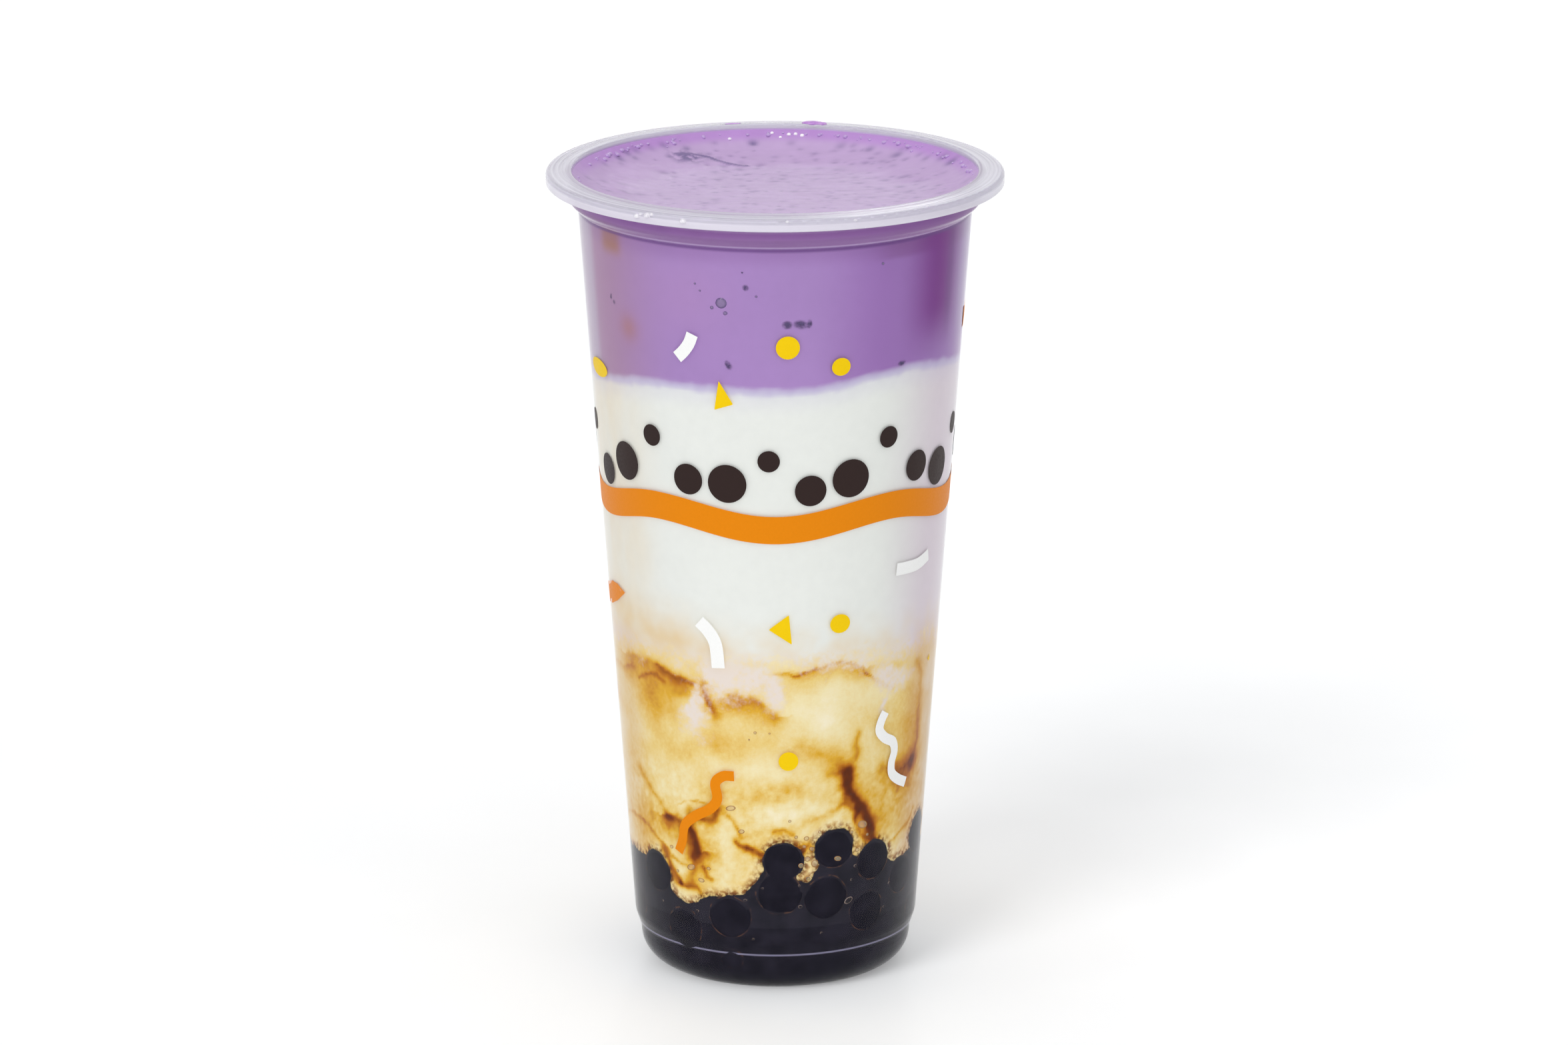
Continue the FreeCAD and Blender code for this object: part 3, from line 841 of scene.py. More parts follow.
# ---- Ube milk ---------------------------------------------------------------
# Pits in the foamy surface: bearing, radius, half width, darkness, which sets both a pit's depth and its
# painted shade. More are strewn over the middle.
SEEN_PITS = (
    (-124, 39.4, 1.0, 0.8), (-129, 40.1, 0.9, 0.7), (-133, 40.1, 1.0, 0.5), (-130, 38.5, 0.7, 0.6),
    (-122, 38.1, 0.6, 0.4), (-115, 39.3, 0.8, 0.4), (-139, 39.9, 0.9, 0.3), (-144, 40.1, 0.9, 0.6),
    (-151, 38.6, 0.7, 0.7), (-173, 38.8, 0.9, 1.1), (-161, 39.3, 0.6, 0.4), (159, 38.6, 1.0, 0.5),
    (155, 38.9, 0.7, 0.4), (154, 37.4, 0.7, 0.4), (151, 38.0, 0.6, 0.4), (149, 38.5, 0.9, 0.7),
    (145, 37.6, 0.8, 0.4), (138, 38.2, 1.1, 0.8), (133, 37.5, 0.7, 0.5), (138, 39.7, 0.6, 0.4),
    (136, 40.1, 0.6, 0.4), (130, 39.3, 0.7, 0.4), (126, 39.0, 0.8, 0.5), (120, 40.4, 1.0, 0.6),
    (114, 40.2, 1.1, 0.9), (175, 38.7, 0.8, 0.4), (110, 37.3, 0.8, 0.3), (90, 39.5, 0.8, 0.4),
    (-96, 39, 0.8, 0.4), (60, 39.4, 0.7, 0.4), (-55, 39.2, 0.7, 0.4),
)
STREWN_PITS = 420
# A fold in the skin on the surface, at its back left: x, y. Its left end is crumpled.
SKIN_FOLD = (
    (-21.1, 30.5), (-19.4, 31.3), (-17.6, 31.7), (-14.5, 31.3), (-12.4, 30.0), (-10.3, 28.7), (-7.5, 27.7),
    (-6.0, 27.6),
)
# Heights of the rows of points from the shoulder's ledge up to the drink's edge.
NECK_ROWS = (163.4, 163.5, 163.62, 163.8, 164.4, 165.0, 165.17, 165.6, 166.4, 167.2, 168.0, 168.8, 169.4)


def soft_rise(x, softness):
    """Nothing below 0 and x above it, with a soft bend between."""
    return softness * np.logaddexp(0, x / softness)


def dish_height(radius):
    """The drink's surface: flat in the middle and climbing at the wall."""
    slope = 0.23 * soft_rise(radius - DISH_FLOOR_RADIUS, 1.6)
    return DISH_FLOOR_HEIGHT + slope + 0.478 * soft_rise(radius - DISH_EDGE_RADIUS, 0.8)


def surface_pits(flat, seed=12):
    """How deep points of the surface lie in its pits, from 0 to about 1."""
    rng = np.random.default_rng(seed)
    pits = [(*place(bearing, radius, 0.0)[:2], size, dark) for bearing, radius, size, dark in SEEN_PITS]
    for _ in range(STREWN_PITS):
        spot = place(rng.uniform(-180, 180), 37 * math.sqrt(rng.uniform(0.01, 1)), 0.0)
        pits.append((*spot[:2], 0.38 + 0.6 * rng.uniform() ** 2, rng.uniform(0.2, 0.58)))
    depth = np.zeros(len(flat))
    for x, y, size, dark in pits:
        d2 = ((flat[:, 0] - x) / (1.25 * size)) ** 2 + ((flat[:, 1] - y) / size) ** 2
        depth = np.maximum(depth, dark * np.exp(-1.2 * d2))
    return depth


def skin_fold(flat):
    """Where points of the surface lie on the fold in its skin, from 0 to 1."""
    away, _ = path_distance(flat[:, 0], flat[:, 1], SKIN_FOLD, 1)
    crumple = 1.6 * np.exp(-(((flat[:, 0] + 18.5) / 3.0) ** 2 + ((flat[:, 1] - 30) / 2.2) ** 2))
    crumple = crumple * smooth(np.abs(layered_noise(flat, 2.4, 92)), 0.30, 0.08)
    return np.maximum(smooth(away, 0.75, 0.2), crumple)


def ube_surface():
    """Points and colours of the drink's surface, in rings from the wall to the middle."""
    edge = NECK_RADIUS - WALL + INTO_WALL
    radii = np.concatenate([np.linspace(edge, 34, 28), np.linspace(33.6, 0.6, 66)])
    radius = np.repeat(radii, COLUMNS)
    bearing = np.tile(BEARINGS, len(radii))
    flat = place(bearing, radius, 0.0)
    ring = smooth(radius, 36.5, 38.5)
    ripple = layered_noise(flat * (0.6, 1.5, 1), 3.2, 91)
    pits, fold = surface_pits(flat), skin_fold(flat)
    relief = 0.10 * ripple * (1 - 0.6 * ring) + 0.08 * layered_noise(flat, 9, 93) - 0.22 * pits + 0.2 * fold
    points = place(bearing, radius, dish_height(radius) + relief * smooth(radius, edge, edge - 1.0))

    # the flat middle is painted paler as a reflection of the sky, and the slope at the wall darker and deeper
    # as painted shade, most at the back
    painted_slope_shade = smooth(radius, 38.6, 41.0) * smooth(flat[:, 1], -10, 20)
    centre = smooth(radius + 5 * layered_noise(flat * (0.3, 1.5, 1), 4.0, 96) + 0.12 * flat[:, 1], 36, 28)
    painted_sheen_tone = linear(198, 175, 211)
    tone = blend(blend(linear(192, 164, 206), linear(184, 142, 205), painted_slope_shade), painted_sheen_tone, centre)
    # painted light on the ripples' crests, with tone that also differs at random
    tone = tone * (1 + 0.05 * ripple + 0.05 * layered_noise(flat, 8, 95))[:, None]
    # painted shade in the pits and along the fold in the skin
    tone = blend(tone, linear(106, 92, 138), np.clip(0.75 * pits + 0.75 * fold, 0, 0.85))
    return np.concatenate([points, [[0, 0, DISH_FLOOR_HEIGHT]]]), np.concatenate([tone, [painted_sheen_tone]])


def ube_milk():
    bottom = line_height(BEARINGS, UBE_LINE) - SEAM_FALL
    knee = SHOULDER_HEIGHT + WALL / 2
    rise = np.concatenate([np.linspace(0, 0.88, 56), np.linspace(0.89, 1, 14)])[:, None]
    z = np.concatenate([bottom + (knee - bottom) * rise, np.repeat(NECK_ROWS, COLUMNS).reshape(-1, COLUMNS)])
    wall_rows = len(z)
    z, bearing = z.ravel(), np.tile(BEARINGS, wall_rows)
    wall = place(bearing, inner_radius(z) + INTO_WALL, z)
    top, tone = ube_surface()
    # a ring further in and a point close the body underneath
    under = place(BEARINGS, inner_radius(bottom) - 6, bottom + 0.5)
    points = np.concatenate([wall, top, under, [[0, 0, 132]]])
    main = len(wall) + len(top) - 1
    grid, cap = capped_faces(main // COLUMNS, COLUMNS)
    first = np.arange(COLUMNS)
    turned = np.roll(first, -1)
    inwards = np.stack([main + 1 + first, main + 1 + turned, turned, first], -1)
    split = (wall_rows - 1) * COLUMNS
    faces = [grid[:split], grid[split:], cap, fan_faces(main + 1 + COLUMNS, main + 1 + first, False), inwards]
    paint = np.concatenate([milk_paint(bearing, z), tone, np.tile(MILK_INSIDE, (COLUMNS + 1, 1))])
    materials = [painted_material("ube_milk"), painted_material("ube_surface", 0.38, 0.02, 0.14)]
    thing = mesh_object("ube", points, faces, materials, True, {"paint": paint}, (0, 1, 1, 0, 0))
    dress(thing, "ube_milk", "ube_milk")


# ---- White milk and marbled milk --------------------------------------------
def wall_shell(heights, radii=None):
    """A closed body of liquid against the wall: points up the wall, then the middles of its bottom and top.

    Gives its points, its faces, and the bearings and heights of the wall's points."""
    bearing = np.broadcast_to(BEARINGS, heights.shape).ravel()
    z = heights.ravel()
    wall = place(bearing, inner_radius(z) + INTO_WALL if radii is None else radii.ravel(), z)
    points = np.concatenate([wall, [[0, 0, heights[0].mean()], [0, 0, heights[-1].mean()]]])
    return points, closed_faces(len(heights), COLUMNS), bearing, z


def level_rows(heights):
    return np.repeat(np.asarray(heights)[:, None], COLUMNS, axis=1)


def white_milk():
    top = line_height(BEARINGS, UBE_LINE) - SEAM_FALL
    heights = MARBLE_TOP + (top - MARBLE_TOP) * np.linspace(0, 1, 90)[:, None]
    points, faces, bearing, z = wall_shell(heights)
    paint = np.concatenate([milk_paint(bearing, z), np.tile(MILK_INSIDE, (2, 1))])
    thing = mesh_object("milk", points, faces, painted_material("white_milk", 0.4), True, {"paint": paint})
    dress(thing, "white_milk", "white_milk")


def marbled_milk():
    points, faces, bearing, z = wall_shell(level_rows(np.linspace(MARBLE_BOTTOM, MARBLE_TOP, 160)))
    fields = {**marbling(bearing, z), "white": milk_paint(bearing, z)}
    # what the fields are at the middles of the bottom and top
    ends = {
        "syrup": (0.3, 0.3), "milk": (0.0, 1.0), "dark": (5.0, -9.0), "rim": (9.0, 9.0),
        "side_shade": np.ones((2, 3)), "white": np.tile(linear(234, 224, 212), (2, 1)),
    }
    fields = {name: np.concatenate([values, ends[name]]) for name, values in fields.items()}
    thing = mesh_object("marbled_milk", points, faces, marbled_material(), True, fields)
    dress(thing, "brown_sugar_milk", "brown_sugar_milk")


# ---- Pearl bed --------------------------------------------------------------
def syrup_core():
    """Dark syrup that the pearls lie in, from the cup's floor up to the marbled milk."""
    turn = FLOOR_ROUND + INTO_WALL
    round_rows = FLOOR_HEIGHT - INTO_WALL + turn * (1 - np.cos(np.linspace(0, math.pi / 2, 9)))
    rows = np.concatenate([round_rows, np.linspace(8.0, MARBLE_BOTTOM, 17)])
    round_height = FLOOR_HEIGHT + FLOOR_ROUND
    fall = np.sqrt(np.maximum(turn ** 2 - (round_height - rows) ** 2, 0))
    round_radius = BASE_RADIUS - WALL - FLOOR_ROUND + fall
    radii = np.where(rows < round_height, round_radius, inner_radius(rows) + INTO_WALL)
    points, faces, bearing, z = wall_shell(level_rows(rows), level_rows(radii))
    fields = {"rim": np.append(past_pearls(bearing, z)[0], (9.0, 9.0))}
    thing = mesh_object("dark_syrup", points, faces, syrup_material(), True, fields)
    dress(thing, "pearl_bed", "pearl_bed")


def unit_ball(rings=19, segments=30):
    """Points and faces of a ball with its poles on the first axis."""
    polar = np.linspace(0, math.pi, rings + 2)[1:-1]
    turn = np.arange(segments) * 2 * math.pi / segments
    ball = np.stack([
        np.outer(np.cos(polar), np.ones(segments)),
        np.outer(np.sin(polar), np.cos(turn)),
        np.outer(np.sin(polar), np.sin(turn)),
    ], axis=-1).reshape(-1, 3)
    return np.concatenate([ball, [[1, 0, 0], [-1, 0, 0]]]), closed_faces(rings, segments)


def directions(bearing):
    """Outwards, across and upwards at a bearing."""
    a = math.radians(bearing)
    outward = np.array([math.sin(a), -math.cos(a), 0])
    return outward, np.array([math.cos(a), math.sin(a), 0]), np.array([0, 0, 1.0])


def tapioca_pearls():
    heap = Joined()
    ball, faces = unit_ball()
    rng = np.random.default_rng(17)
    for bearing, radius, z, size in PEARLS:
        dents = 1 + 0.03 * lattice_noise(ball * 10, 7, int(rng.integers(1, 10000)))
        squash = 1 + rng.uniform(-0.04, 0.04, 3)
        local = ball * dents[:, None] * squash * size
        points = place(bearing, radius, z) + local @ np.array(directions(bearing))
        reach = np.hypot(points[:, 0], points[:, 1])
        limit = inner_radius(points[:, 2]) + INTO_WALL + 0.03
        points[:, :2] *= np.where(reach > limit, limit / np.maximum(reach, 1e-6), 1)[:, None]
        heap.add(points, faces)
    dress(heap.piece("tapioca_pearls", pearl_material()), "pearl_bed", "pearl_bed")


# ---- Bubbles, specks and drops ----------------------------------------------
# At the wall: bearing, height, half width, half height (mm).
MILK_BUBBLES = (
    (-17, 41.5, 1.15, 0.6), (-7.3, 58.6, 0.35, 0.3), (-2, 58.5, 0.22, 0.2), (-9.5, 57, 0.2, 0.2),
    (-13, 36.5, 0.7, 0.5), (-35, 27, 1.1, 0.7), (35.5, 36.5, 1.3, 0.95), (25, 29.8, 0.9, 0.6),
    (12, 35, 0.6, 0.5), (10, 29, 0.6, 0.6), (12.5, 30.4, 0.7, 0.6), (14.2, 32.6, 0.6, 0.5),
    (11.2, 33.2, 0.45, 0.4), (15.5, 29.3, 0.8, 0.9), (33.5, 31, 0.6, 0.5), (-30.5, 24.5, 0.8, 0.5),
    (-27, 27.4, 0.5, 0.4), (-44.5, 30.5, 0.5, 0.4), (-42, 25.4, 0.4, 0.35), (8, 35.4, 0.4, 0.35),
    (17.2, 36.2, 0.4, 0.35), (30.6, 35.2, 0.45, 0.4), (38, 34.0, 0.4, 0.35), (5.5, 39.0, 0.35, 0.3),
    (-22, 44.2, 0.3, 0.25), (120, 40, 0.9, 0.7), (150, 35, 1.0, 0.7), (-150, 36, 0.8, 0.6),
    (-120, 31, 0.9, 0.6), (172, 47, 0.5, 0.4),
)
DARK_BUBBLES = (
    (10, 19.8, 0.45, 0.4), (30.5, 20, 1.1, 0.7), (-12, 21.2, 0.4, 0.3), (-5, 24.0, 0.3, 0.25),
    (9.5, 24.5, 0.3, 0.3), (13, 26.0, 0.5, 0.4), (33, 27.5, 0.4, 0.35), (31.5, 24.5, 0.3, 0.3),
    (-52, 17.5, 0.3, 0.25), (-33, 17.4, 0.4, 0.3), (52, 21.5, 0.4, 0.3), (49.5, 16.5, 0.3, 0.25),
    (-9, 12.5, 0.3, 0.25), (19, 13.5, 0.3, 0.25), (110, 20, 0.5, 0.4), (160, 17, 0.4, 0.35),
    (-140, 18, 0.5, 0.4), (-100, 21, 0.4, 0.3),
)
UBE_BUBBLES = (
    (-16, 151.3, 1.25, 1.2), (-14.8, 149.2, 0.5, 0.42), (-18.9, 150.2, 0.4, 0.38),
    (-5.5, 153.0, 0.28, 0.25),
    (33, 158.5, 0.35, 0.3), (-24, 155, 0.26, 0.24), (-22.5, 153.6, 0.24, 0.22), (104, 150, 1.0, 0.9),
    (139, 143, 0.5, 0.45), (-158, 152, 0.8, 0.75), (-117, 146, 0.4, 0.35),
)
UBE_SPECKS = (
    (-8.6, 154.8, 0.85, 0.8), (3.6, 147.0, 1.3, 1.1), (7.6, 147.0, 1.9, 1.15), (10.2, 147.1, 0.75, 1.2),
    (-14.2, 138.2, 0.8, 1.3), (-58, 148.6, 0.5, 0.8), (-56.5, 147.6, 0.45, 0.6), (1.5, 141.6, 0.55, 0.4),
    (42, 136.4, 1.3, 0.7), (-9.5, 158, 0.3, 0.25), (120, 144, 1.0, 0.8), (-140, 149, 0.9, 0.8),
    (166, 155, 0.8, 0.8), (-100, 139, 0.9, 1.1),
)
# Bubbles at the back of the surface, painted nearly white as highlights: bearing, radius, size, brightness.
BRIGHT_BUBBLES = (
    (176, 40.9, 0.5, 1.0), (174, 41.0, 0.45, 1.0), (172, 40.7, 0.5, 1.0), (178.5, 40.2, 0.35, 1.0),
    (-179, 41.2, 0.4, 1.0), (-166, 40.1, 0.45, 0.8),
)
FOAM_BUBBLES = 110
# Drops of ube milk on the flange: bearing, radius, half length, half width, height.
UBE_DROPS = ((169.4, 43.7, 2.5, 1.2, 0.5), (167.0, 43.4, 1.2, 0.9, 0.4), (-168, 43.5, 1.8, 0.5, 0.12))
# Beads of water on the lip, painted nearly white as highlights: bearing, height, size.
WATER_BEADS = (
    (-36, 169.4, 0.75), (-35, 169.9, 0.4), (-33, 169.8, 0.8), (-31.8, 170.1, 0.5), (-23, 169.5, 0.8),
    (3, 170.2, 0.4), (20, 169.9, 0.4),
)


def disc_grid(shares, segments, wide, tall):
    """Rings of an ellipse, each at a share of its size: shares, x and y."""
    turn = np.arange(segments) * 2 * math.pi / segments
    s, t = np.meshgrid(shares, turn, indexing="ij")
    return s, s * np.cos(t) * wide, s * np.sin(t) * tall


def wall_disc(bearing, z, half_wide, half_tall, lean):
    """A low dome in the wall in front of the drink: points, faces and how near each point is to its edge."""
    rings, segments, height = 5, 20, 0.22
    s, x, y = disc_grid(np.linspace(1, 0, rings + 1)[:-1], segments, half_wide, half_tall)
    c, d = math.cos(math.radians(lean)), math.sin(math.radians(lean))
    x, y = x * c - y * d, x * d + y * c
    sunk = INTO_WALL - 0.04
    radius = inner_radius(z + y)
    lift = sunk + height * np.sqrt(np.clip(1 - s ** 2, 0, 1)) ** 0.7
    points = place(bearing + np.degrees(x / radius), radius + lift, z + y).reshape(-1, 3)
    middle = place(bearing, inner_radius(z) + sunk + height, z)
    return np.concatenate([points, [middle]]), capped_faces(rings, segments), np.append(s.ravel(), 0)


def wall_bubbles():
    rng = np.random.default_rng(23)
    kinds = (
        ("milk_bubbles", MILK_BUBBLES, "brown_sugar_milk",
         bubble_material("milk_bubble", (170, 118, 60), (240, 220, 178), 0.7)),
        ("syrup_bubbles", DARK_BUBBLES, "pearl_bed",
         bubble_material("syrup_bubble", (150, 132, 122), (56, 50, 56))),
        ("ube_specks", UBE_SPECKS, "ube_milk", speck_material()),
        ("ube_bubbles", UBE_BUBBLES, "ube_milk",
         bubble_material("ube_bubble", (108, 90, 136), (150, 132, 172), 0.4)),
    )
    for name, places, slot, material in kinds:
        group = Joined()
        for bearing, z, wide, tall in places:
            points, faces, edge = wall_disc(bearing, z, wide, tall, rng.uniform(-30, 30))
            group.add(points, faces, edge=edge)
        dress(group.piece(name, material), slot)


def dome(centre, size, flatness=0.8, rings=6, segments=16):
    """A drop or bubble that sits on a surface."""
    lat = np.linspace(-0.35, math.pi / 2, rings + 1)[:-1]
    turn = np.arange(segments) * 2 * math.pi / segments
    a, t = np.meshgrid(lat, turn, indexing="ij")
    points = np.stack([np.cos(a) * np.cos(t), np.cos(a) * np.sin(t), flatness * np.sin(a)], -1).reshape(-1, 3)
    points = np.concatenate([points, [[0, 0, flatness]]]) * size + centre
    return points, capped_faces(rings, segments)


def foam_bubbles():
    """Small bubbles that float in the drink's corner with the wall, and a few at the back painted nearly
    white as highlights.
    """
    rng = np.random.default_rng(31)
    foam = Joined()
    placed = []
    for _ in range(FOAM_BUBBLES):
        size = 0.2 + 0.45 * rng.uniform() ** 2.2
        bearing = rng.choice([rng.normal(138, 26), rng.normal(-140, 30), rng.uniform(-180, 180)])
        placed.append((bearing, 41.6 - size - abs(rng.normal(0, 0.5)), size, 0.0))
    for bearing, radius, size, bright in (*placed, *BRIGHT_BUBBLES):
        spot = place(bearing, radius, dish_height(radius) - 0.2 * size)
        points, faces = dome(spot, size, rng.uniform(0.75, 0.95))
        foam.add(points, faces, bright=bright)
    dress(foam.piece("foam_bubbles", foam_material()), "ube_milk")


def rim_drops():
    """Drops of ube milk on the back of the flange, and beads of water on the lip's front."""
    drops, beads = Joined(), Joined()
    for bearing, radius, long, wide, tall in UBE_DROPS:
        points, faces = dome(np.zeros(3), 1.0, 1.0, 7, 24)
        out, across, up = directions(bearing)
        fall = FLANGE_FALL * (radius - NECK_RADIUS) / (RIM_RADIUS - NECK_RADIUS)
        points = points @ np.array([long * across, wide * out, tall * up])
        drops.add(points + place(bearing, radius, CUP_HEIGHT - fall), faces)
    for bearing, z, size in WATER_BEADS:
        beads.add(*dome(place(bearing, RIM_RADIUS - 0.25, z), size))
    dress(drops.piece("ube_drops", ube_drop_material()), "ube_milk")
    dress(beads.piece("water_beads", water_bead_material()), "clear_plastic")


# ---- Print ------------------------------------------------------------------
# Dots of confetti: bearing, height, radius. Towards the sides of the photograph they are wider than tall.
YELLOW_DOTS = (
    (3.8, 142.2, 2.45), (20.2, 137.6, 1.9), (-70.5, 131.6, 1.9), (22.5, 82.0, 2.05), (4.8, 52.4, 2.05),
    (104, 139, 2.3), (150, 131, 2.0), (-150, 141, 2.2), (118, 80, 2.2), (-164, 76, 2.0), (-112, 55, 2.2),
)
# Confetti with straight sides: corners as (bearing, height).
YELLOW_SCRAPS = (
    ((-17.2, 134.8), (-12.8, 129.9), (-18.8, 128.5)), ((-2.2, 81.4), (4.6, 84.6), (5.7, 78.1)),
    ((69, 68.6), (71.2, 69.4), (70.8, 67.8)), ((128, 137), (133, 132.5), (127, 130.6)),
    ((-128, 84), (-122, 81.5), (-127, 78.4)), ((158, 57), (163, 60), (165, 55)),
)
ORANGE_SCRAPS = (
    ((-88, 82.4), (-75, 84.7), (-69, 85.0), (-62.6, 84.0), (-70, 81.2), (-77.5, 79.4), (-88, 78.0)),
    ((82, 142.4), (92, 143.6), (99, 141.2), (92, 138.6), (82, 138.2)),
)
# Streamers: width, path of (bearing, height).
ORANGE_STREAMERS = (
    (2.2, ((-15.2, 48.8), (-19.4, 48.6), (-22.6, 46.8), (-22.0, 43.4), (-25, 41.0), (-31, 39.0),
        (-36.4, 36.4),
           (-38.0, 32.8), (-40.2, 30.0))),
    (2.2, ((150, 47), (154, 46.8), (157, 45.0), (157, 41.5), (162, 38.5), (169, 36), (172, 31))),
)
WHITE_STREAMERS = (
    (2.6, ((-30.6, 138.9), (-28.3, 140.4), (-26.4, 142.2), (-25.2, 144.2))),
    (2.7, ((44.6, 91.6), (50, 91.4), (56, 91.4), (62.6, 92.4))),
    (2.9, ((-26.6, 82.2), (-23.4, 80.4), (-20.8, 77.6), (-20.0, 72.4))),
    (2.2, ((43.2, 60.6), (41.4, 58.8), (40.8, 56.8), (43.6, 54.9), (48.0, 53.4), (49.2, 51.2), (48.0, 48.8),
           (48.6, 46.4), (52.4, 44.6), (57.6, 43.2))),
    (2.2, ((-150, 60), (-147, 57.6), (-149.4, 54.6), (-144.4, 52.4), (-142.6, 49.6), (-145, 47))),
    (2.6, ((112, 93), (119, 91.8), (126, 92.6))),
)
# The wavy stripe's crests and troughs come at these bearings, on both sides of the front.
STRIPE_TURNS = (0, 40, 74, 108, 144, 180)
STRIPE_HEIGHT = 104.55
STRIPE_WIDTH = 5.9
STRIPE_WAVE = 1.55
# Dots ride along the stripe, in turn low and large, high and small, low and middling. Their kinds are
# height over the dots' base, which is near the stripe's upper edge, and radius.
STRIPE_DOTS = 27
DOT_BASE_HEIGHT = 107.6
DOT_KINDS = ((5.2, 4.1), (12.6, 2.3), (4.2, 3.3))


def on_cup(bearing, z):
    """Points on the print, just off the plastic."""
    return place(bearing, outer_radius(z) + INK_RISE, z)


def ink_disc(bearing, z, wide, tall):
    shares, segments = np.array([1.0, 0.97, 0.93, 0.88, 0.6, 0.3]), 40
    _, x, y = disc_grid(shares, segments, wide, tall)
    zz = z + y
    points = on_cup(bearing + np.degrees(x / outer_radius(zz)), zz).reshape(-1, 3)
    return np.concatenate([points, [on_cup(bearing, z)]]), capped_faces(len(shares), segments)


def smooth_path(path, step=0.5):
    """Evenly spaced points on a smooth curve through (bearing, height) points."""
    p = np.array(path, float)
    p = np.concatenate([[2 * p[0] - p[1]], p, [2 * p[-1] - p[-2]]])
    out = []
    for a, b, c, d in zip(p, p[1:], p[2:], p[3:]):
        scale = math.radians(float(outer_radius(b[1])))
        count = max(2, int(math.hypot((c[0] - b[0]) * scale, c[1] - b[1]) / step))
        t = (np.arange(count) / count)[:, None]
        curve = 2 * b + (c - a) * t + (2 * a - 5 * b + 4 * c - d) * t ** 2 + (3 * b - a - 3 * c + d) * t ** 3
        out.append(0.5 * curve)
    return np.concatenate([*out, [p[-2]]])


def ink_ribbon(line, width):
    """A printed brush stroke along a line of (bearing, height), with square ends."""
    radius = outer_radius(line[:, 1]).mean()
    flat = np.stack([np.radians(line[:, 0]) * radius, line[:, 1]], axis=1)
    ahead = np.gradient(flat, axis=0)
    ahead /= np.linalg.norm(ahead, axis=1)[:, None]
    side = np.stack([-ahead[:, 1], ahead[:, 0]], axis=1)
    across = 6
    grid = flat[None] - np.linspace(-0.5, 0.5, across)[:, None, None] * width * side[None]
    points = on_cup(np.degrees(grid[..., 0] / radius), grid[..., 1]).reshape(-1, 3)
    faces = grid_faces(across, len(line), False)
    a, b, c = points[faces[0, :3]]
    if np.dot(np.cross(b - a, c - b), a * (1, 1, 0)) < 0:
        faces = faces[:, ::-1]
    return points, [faces]


def ink_polygon(corners, rounding):
    """A printed shape with straight sides, from its corners in order."""
    c = np.array(corners, float)
    radius = float(outer_radius(c[:, 1].mean()))
    flat = np.stack([np.radians(c[:, 0]) * radius, c[:, 1]], axis=1)
    middle = flat.mean(axis=0)
    if sum(a[0] * b[1] - a[1] * b[0] for a, b in zip(flat, np.roll(flat, -1, axis=0))) < 0:
        flat = flat[::-1]
    outline = []
    for before, at, after in zip(np.roll(flat, 1, axis=0), flat, np.roll(flat, -1, axis=0)):
        a = at + (before - at) * rounding
        b = at + (after - at) * rounding
        for t in (0, 0.25, 0.5, 0.75, 1):
            outline.append((1 - t) ** 2 * a + 2 * t * (1 - t) * at + t ** 2 * b)
    shares = np.array([1.0, 0.94, 0.6, 0.3])
    grid = middle + shares[:, None, None] * (np.array(outline) - middle)[None]
    grid = np.concatenate([grid.reshape(-1, 2), [middle]])
    return on_cup(np.degrees(grid[:, 0] / radius), grid[:, 1]), capped_faces(len(shares), len(outline))


def stripe_wave(bearing):
    """How far the stripe is below its middle height, and the dots along with it."""
    phase = np.interp(np.abs(bearing), STRIPE_TURNS, np.pi * np.arange(len(STRIPE_TURNS)))
    return STRIPE_WAVE * np.cos(phase)


def print_on_cup():
    """Generic party decoration: a wavy stripe, streamers, dots and confetti.

    The photograph's lettering is left out, and a row of plain dots stands in its place."""
    yellow, orange, white, brown = Joined(), Joined(), Joined(), Joined()
    for bearing, z, radius in YELLOW_DOTS:
        wider = 1 / math.cos(math.radians(min(abs(bearing), 66))) if abs(bearing) < 90 else 1
        yellow.add(*ink_disc(bearing, z, radius * wider, radius))
    for corners in YELLOW_SCRAPS:
        yellow.add(*ink_polygon(corners, 0.05))
    for group, streamers in ((orange, ORANGE_STREAMERS), (white, WHITE_STREAMERS)):
        for width, path in streamers:
            group.add(*ink_ribbon(smooth_path(path), width))
    for corners in ORANGE_SCRAPS:
        orange.add(*ink_polygon(corners, 0.04))
    turn = np.linspace(-180, 180, 721)
    orange.add(*ink_ribbon(np.stack([turn, STRIPE_HEIGHT - stripe_wave(turn)], axis=1), STRIPE_WIDTH))
    for i in range(STRIPE_DOTS):
        bearing = -180 + 360 * (i + 0.35) / STRIPE_DOTS
        height, size = DOT_KINDS[i % len(DOT_KINDS)]
        z = DOT_BASE_HEIGHT - stripe_wave(bearing) + height + 0.8 * math.sin(2.3 * i)
        brown.add(*ink_disc(bearing, z, size, size))
    for name, group, colour in (
        ("print_yellow", yellow, (247, 206, 0)), ("print_orange", orange, (234, 136, 0)),
        ("print_white", white, (252, 252, 250)), ("print_brown", brown, (48, 34, 32)),
    ):
        printed = group.piece(name, ink_material(name + "_ink", colour))
        printed.visible_shadow = False
        dress(printed, "clear_plastic")


# ---- Light and camera -------------------------------------------------------
PHOTO_LENS = 170.4
CAMERA_SPOT = (1.82, -1500, 506.2)
CAMERA_TILT = 74.66
# Lamps: name, bearing, elevation, strength, width in degrees.
LAMPS = (
    ("key", -34, 42, 1.02, 24), ("fill", 25, 30, 0.45, 60),
    ("top", 0, 85, 0.42, 70), ("back", 176, 24, 0.04, 6),
)


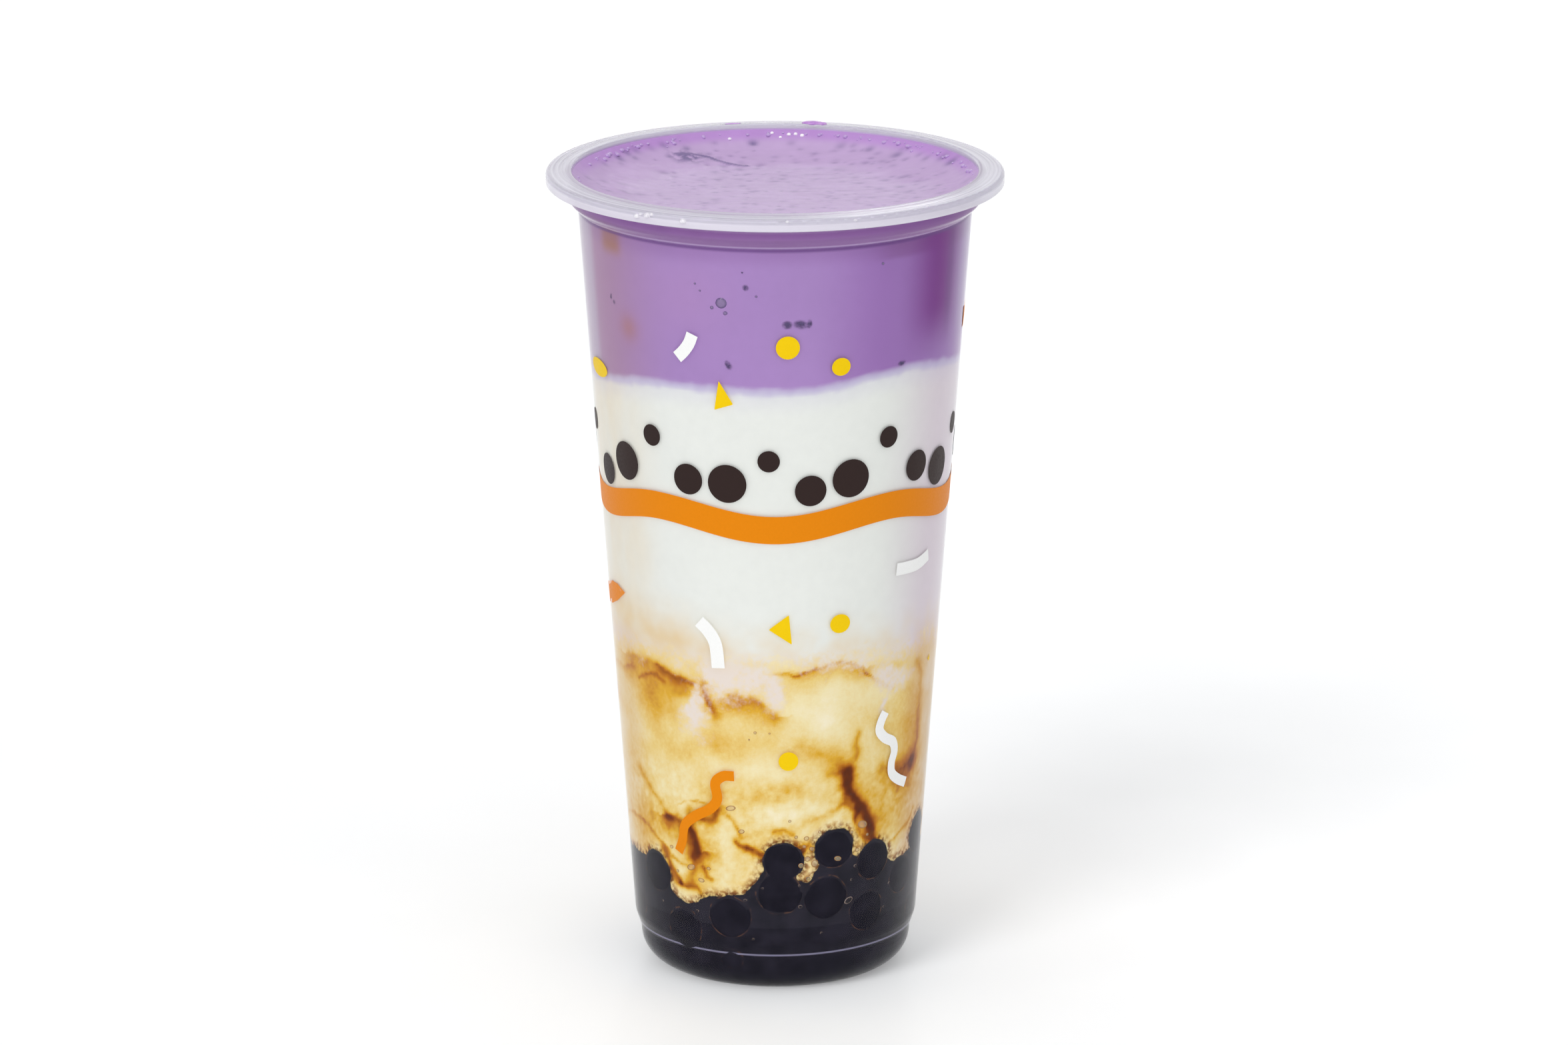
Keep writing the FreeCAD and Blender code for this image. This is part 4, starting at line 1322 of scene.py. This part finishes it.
def daylight():
    """White where the background is seen, and a plain soft light from all round."""
    world = bpy.data.worlds.new("studio")
    bpy.context.scene.world = world
    world.use_nodes = True
    sky = NodeTree(world.node_tree, "ShaderNodeOutputWorld")
    seen = sky.node("ShaderNodeBackground", {"Color": (1, 1, 1, 1)}).outputs[0]
    light = sky.node("ShaderNodeBackground", {"Color": (0.97, 0.985, 1.0, 1), "Strength": 0.5}).outputs[0]
    sky.finish(sky.node("ShaderNodeMixShader", {0: sky.background_rays(), 1: light, 2: seen}).outputs[0])


def lamp(name, bearing, elevation, strength, softness):
    """A broad, distant lamp that lights the object and the floor evenly."""
    data = bpy.data.lights.new(name, "SUN")
    data.energy = strength
    data.angle = math.radians(softness)
    thing = bpy.data.objects.new(name, data)
    e = math.radians(elevation)
    towards = Vector(place(bearing, math.cos(e), math.sin(e)))
    thing.rotation_euler = (-towards).to_track_quat("-Z", "Y").to_euler()
    bpy.context.scene.collection.objects.link(thing)


def floor():
    m = Material("pale_floor")
    material = m.made_of({
        "Base Color": m.mix(m.uneven(300, 2), linear(248, 248, 248), linear(244, 245, 246)),
        "Roughness": m.uneven(40, 2, 0.5, 0.6),
        "Emission Color": (1, 1, 1, 1),
        "Emission Strength": m.math("MULTIPLY", m.background_rays(), 0.16),
    })
    n = 5000.0
    points = np.array([[-n, -n, 0], [n, -n, 0], [n, n, 0], [-n, n, 0]])
    thing = mesh_object("floor", points, [np.array([[0, 1, 2, 3]])], material, False)


def photo_camera():
    data = bpy.data.cameras.new("camera")
    data.sensor_width = 36.0
    data.lens = PHOTO_LENS
    data.clip_start, data.clip_end = 0.05, 20
    thing = bpy.data.objects.new("camera", data)
    thing.location = Vector(CAMERA_SPOT) * MM
    thing.rotation_euler = (math.radians(CAMERA_TILT), 0, 0)
    bpy.context.scene.collection.objects.link(thing)
    bpy.context.scene.camera = thing


# ---- Scene ------------------------------------------------------------------
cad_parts["cup"].data.materials.clear()
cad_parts["cup"].data.materials.append(cup_material())

ube_milk()
white_milk()
marbled_milk()
syrup_core()
tapioca_pearls()
wall_bubbles()
foam_bubbles()
rim_drops()
print_on_cup()
daylight()
for settings in LAMPS:
    lamp(*settings)
floor()
photo_camera()

bpy.context.scene.view_settings.view_transform = "Standard"
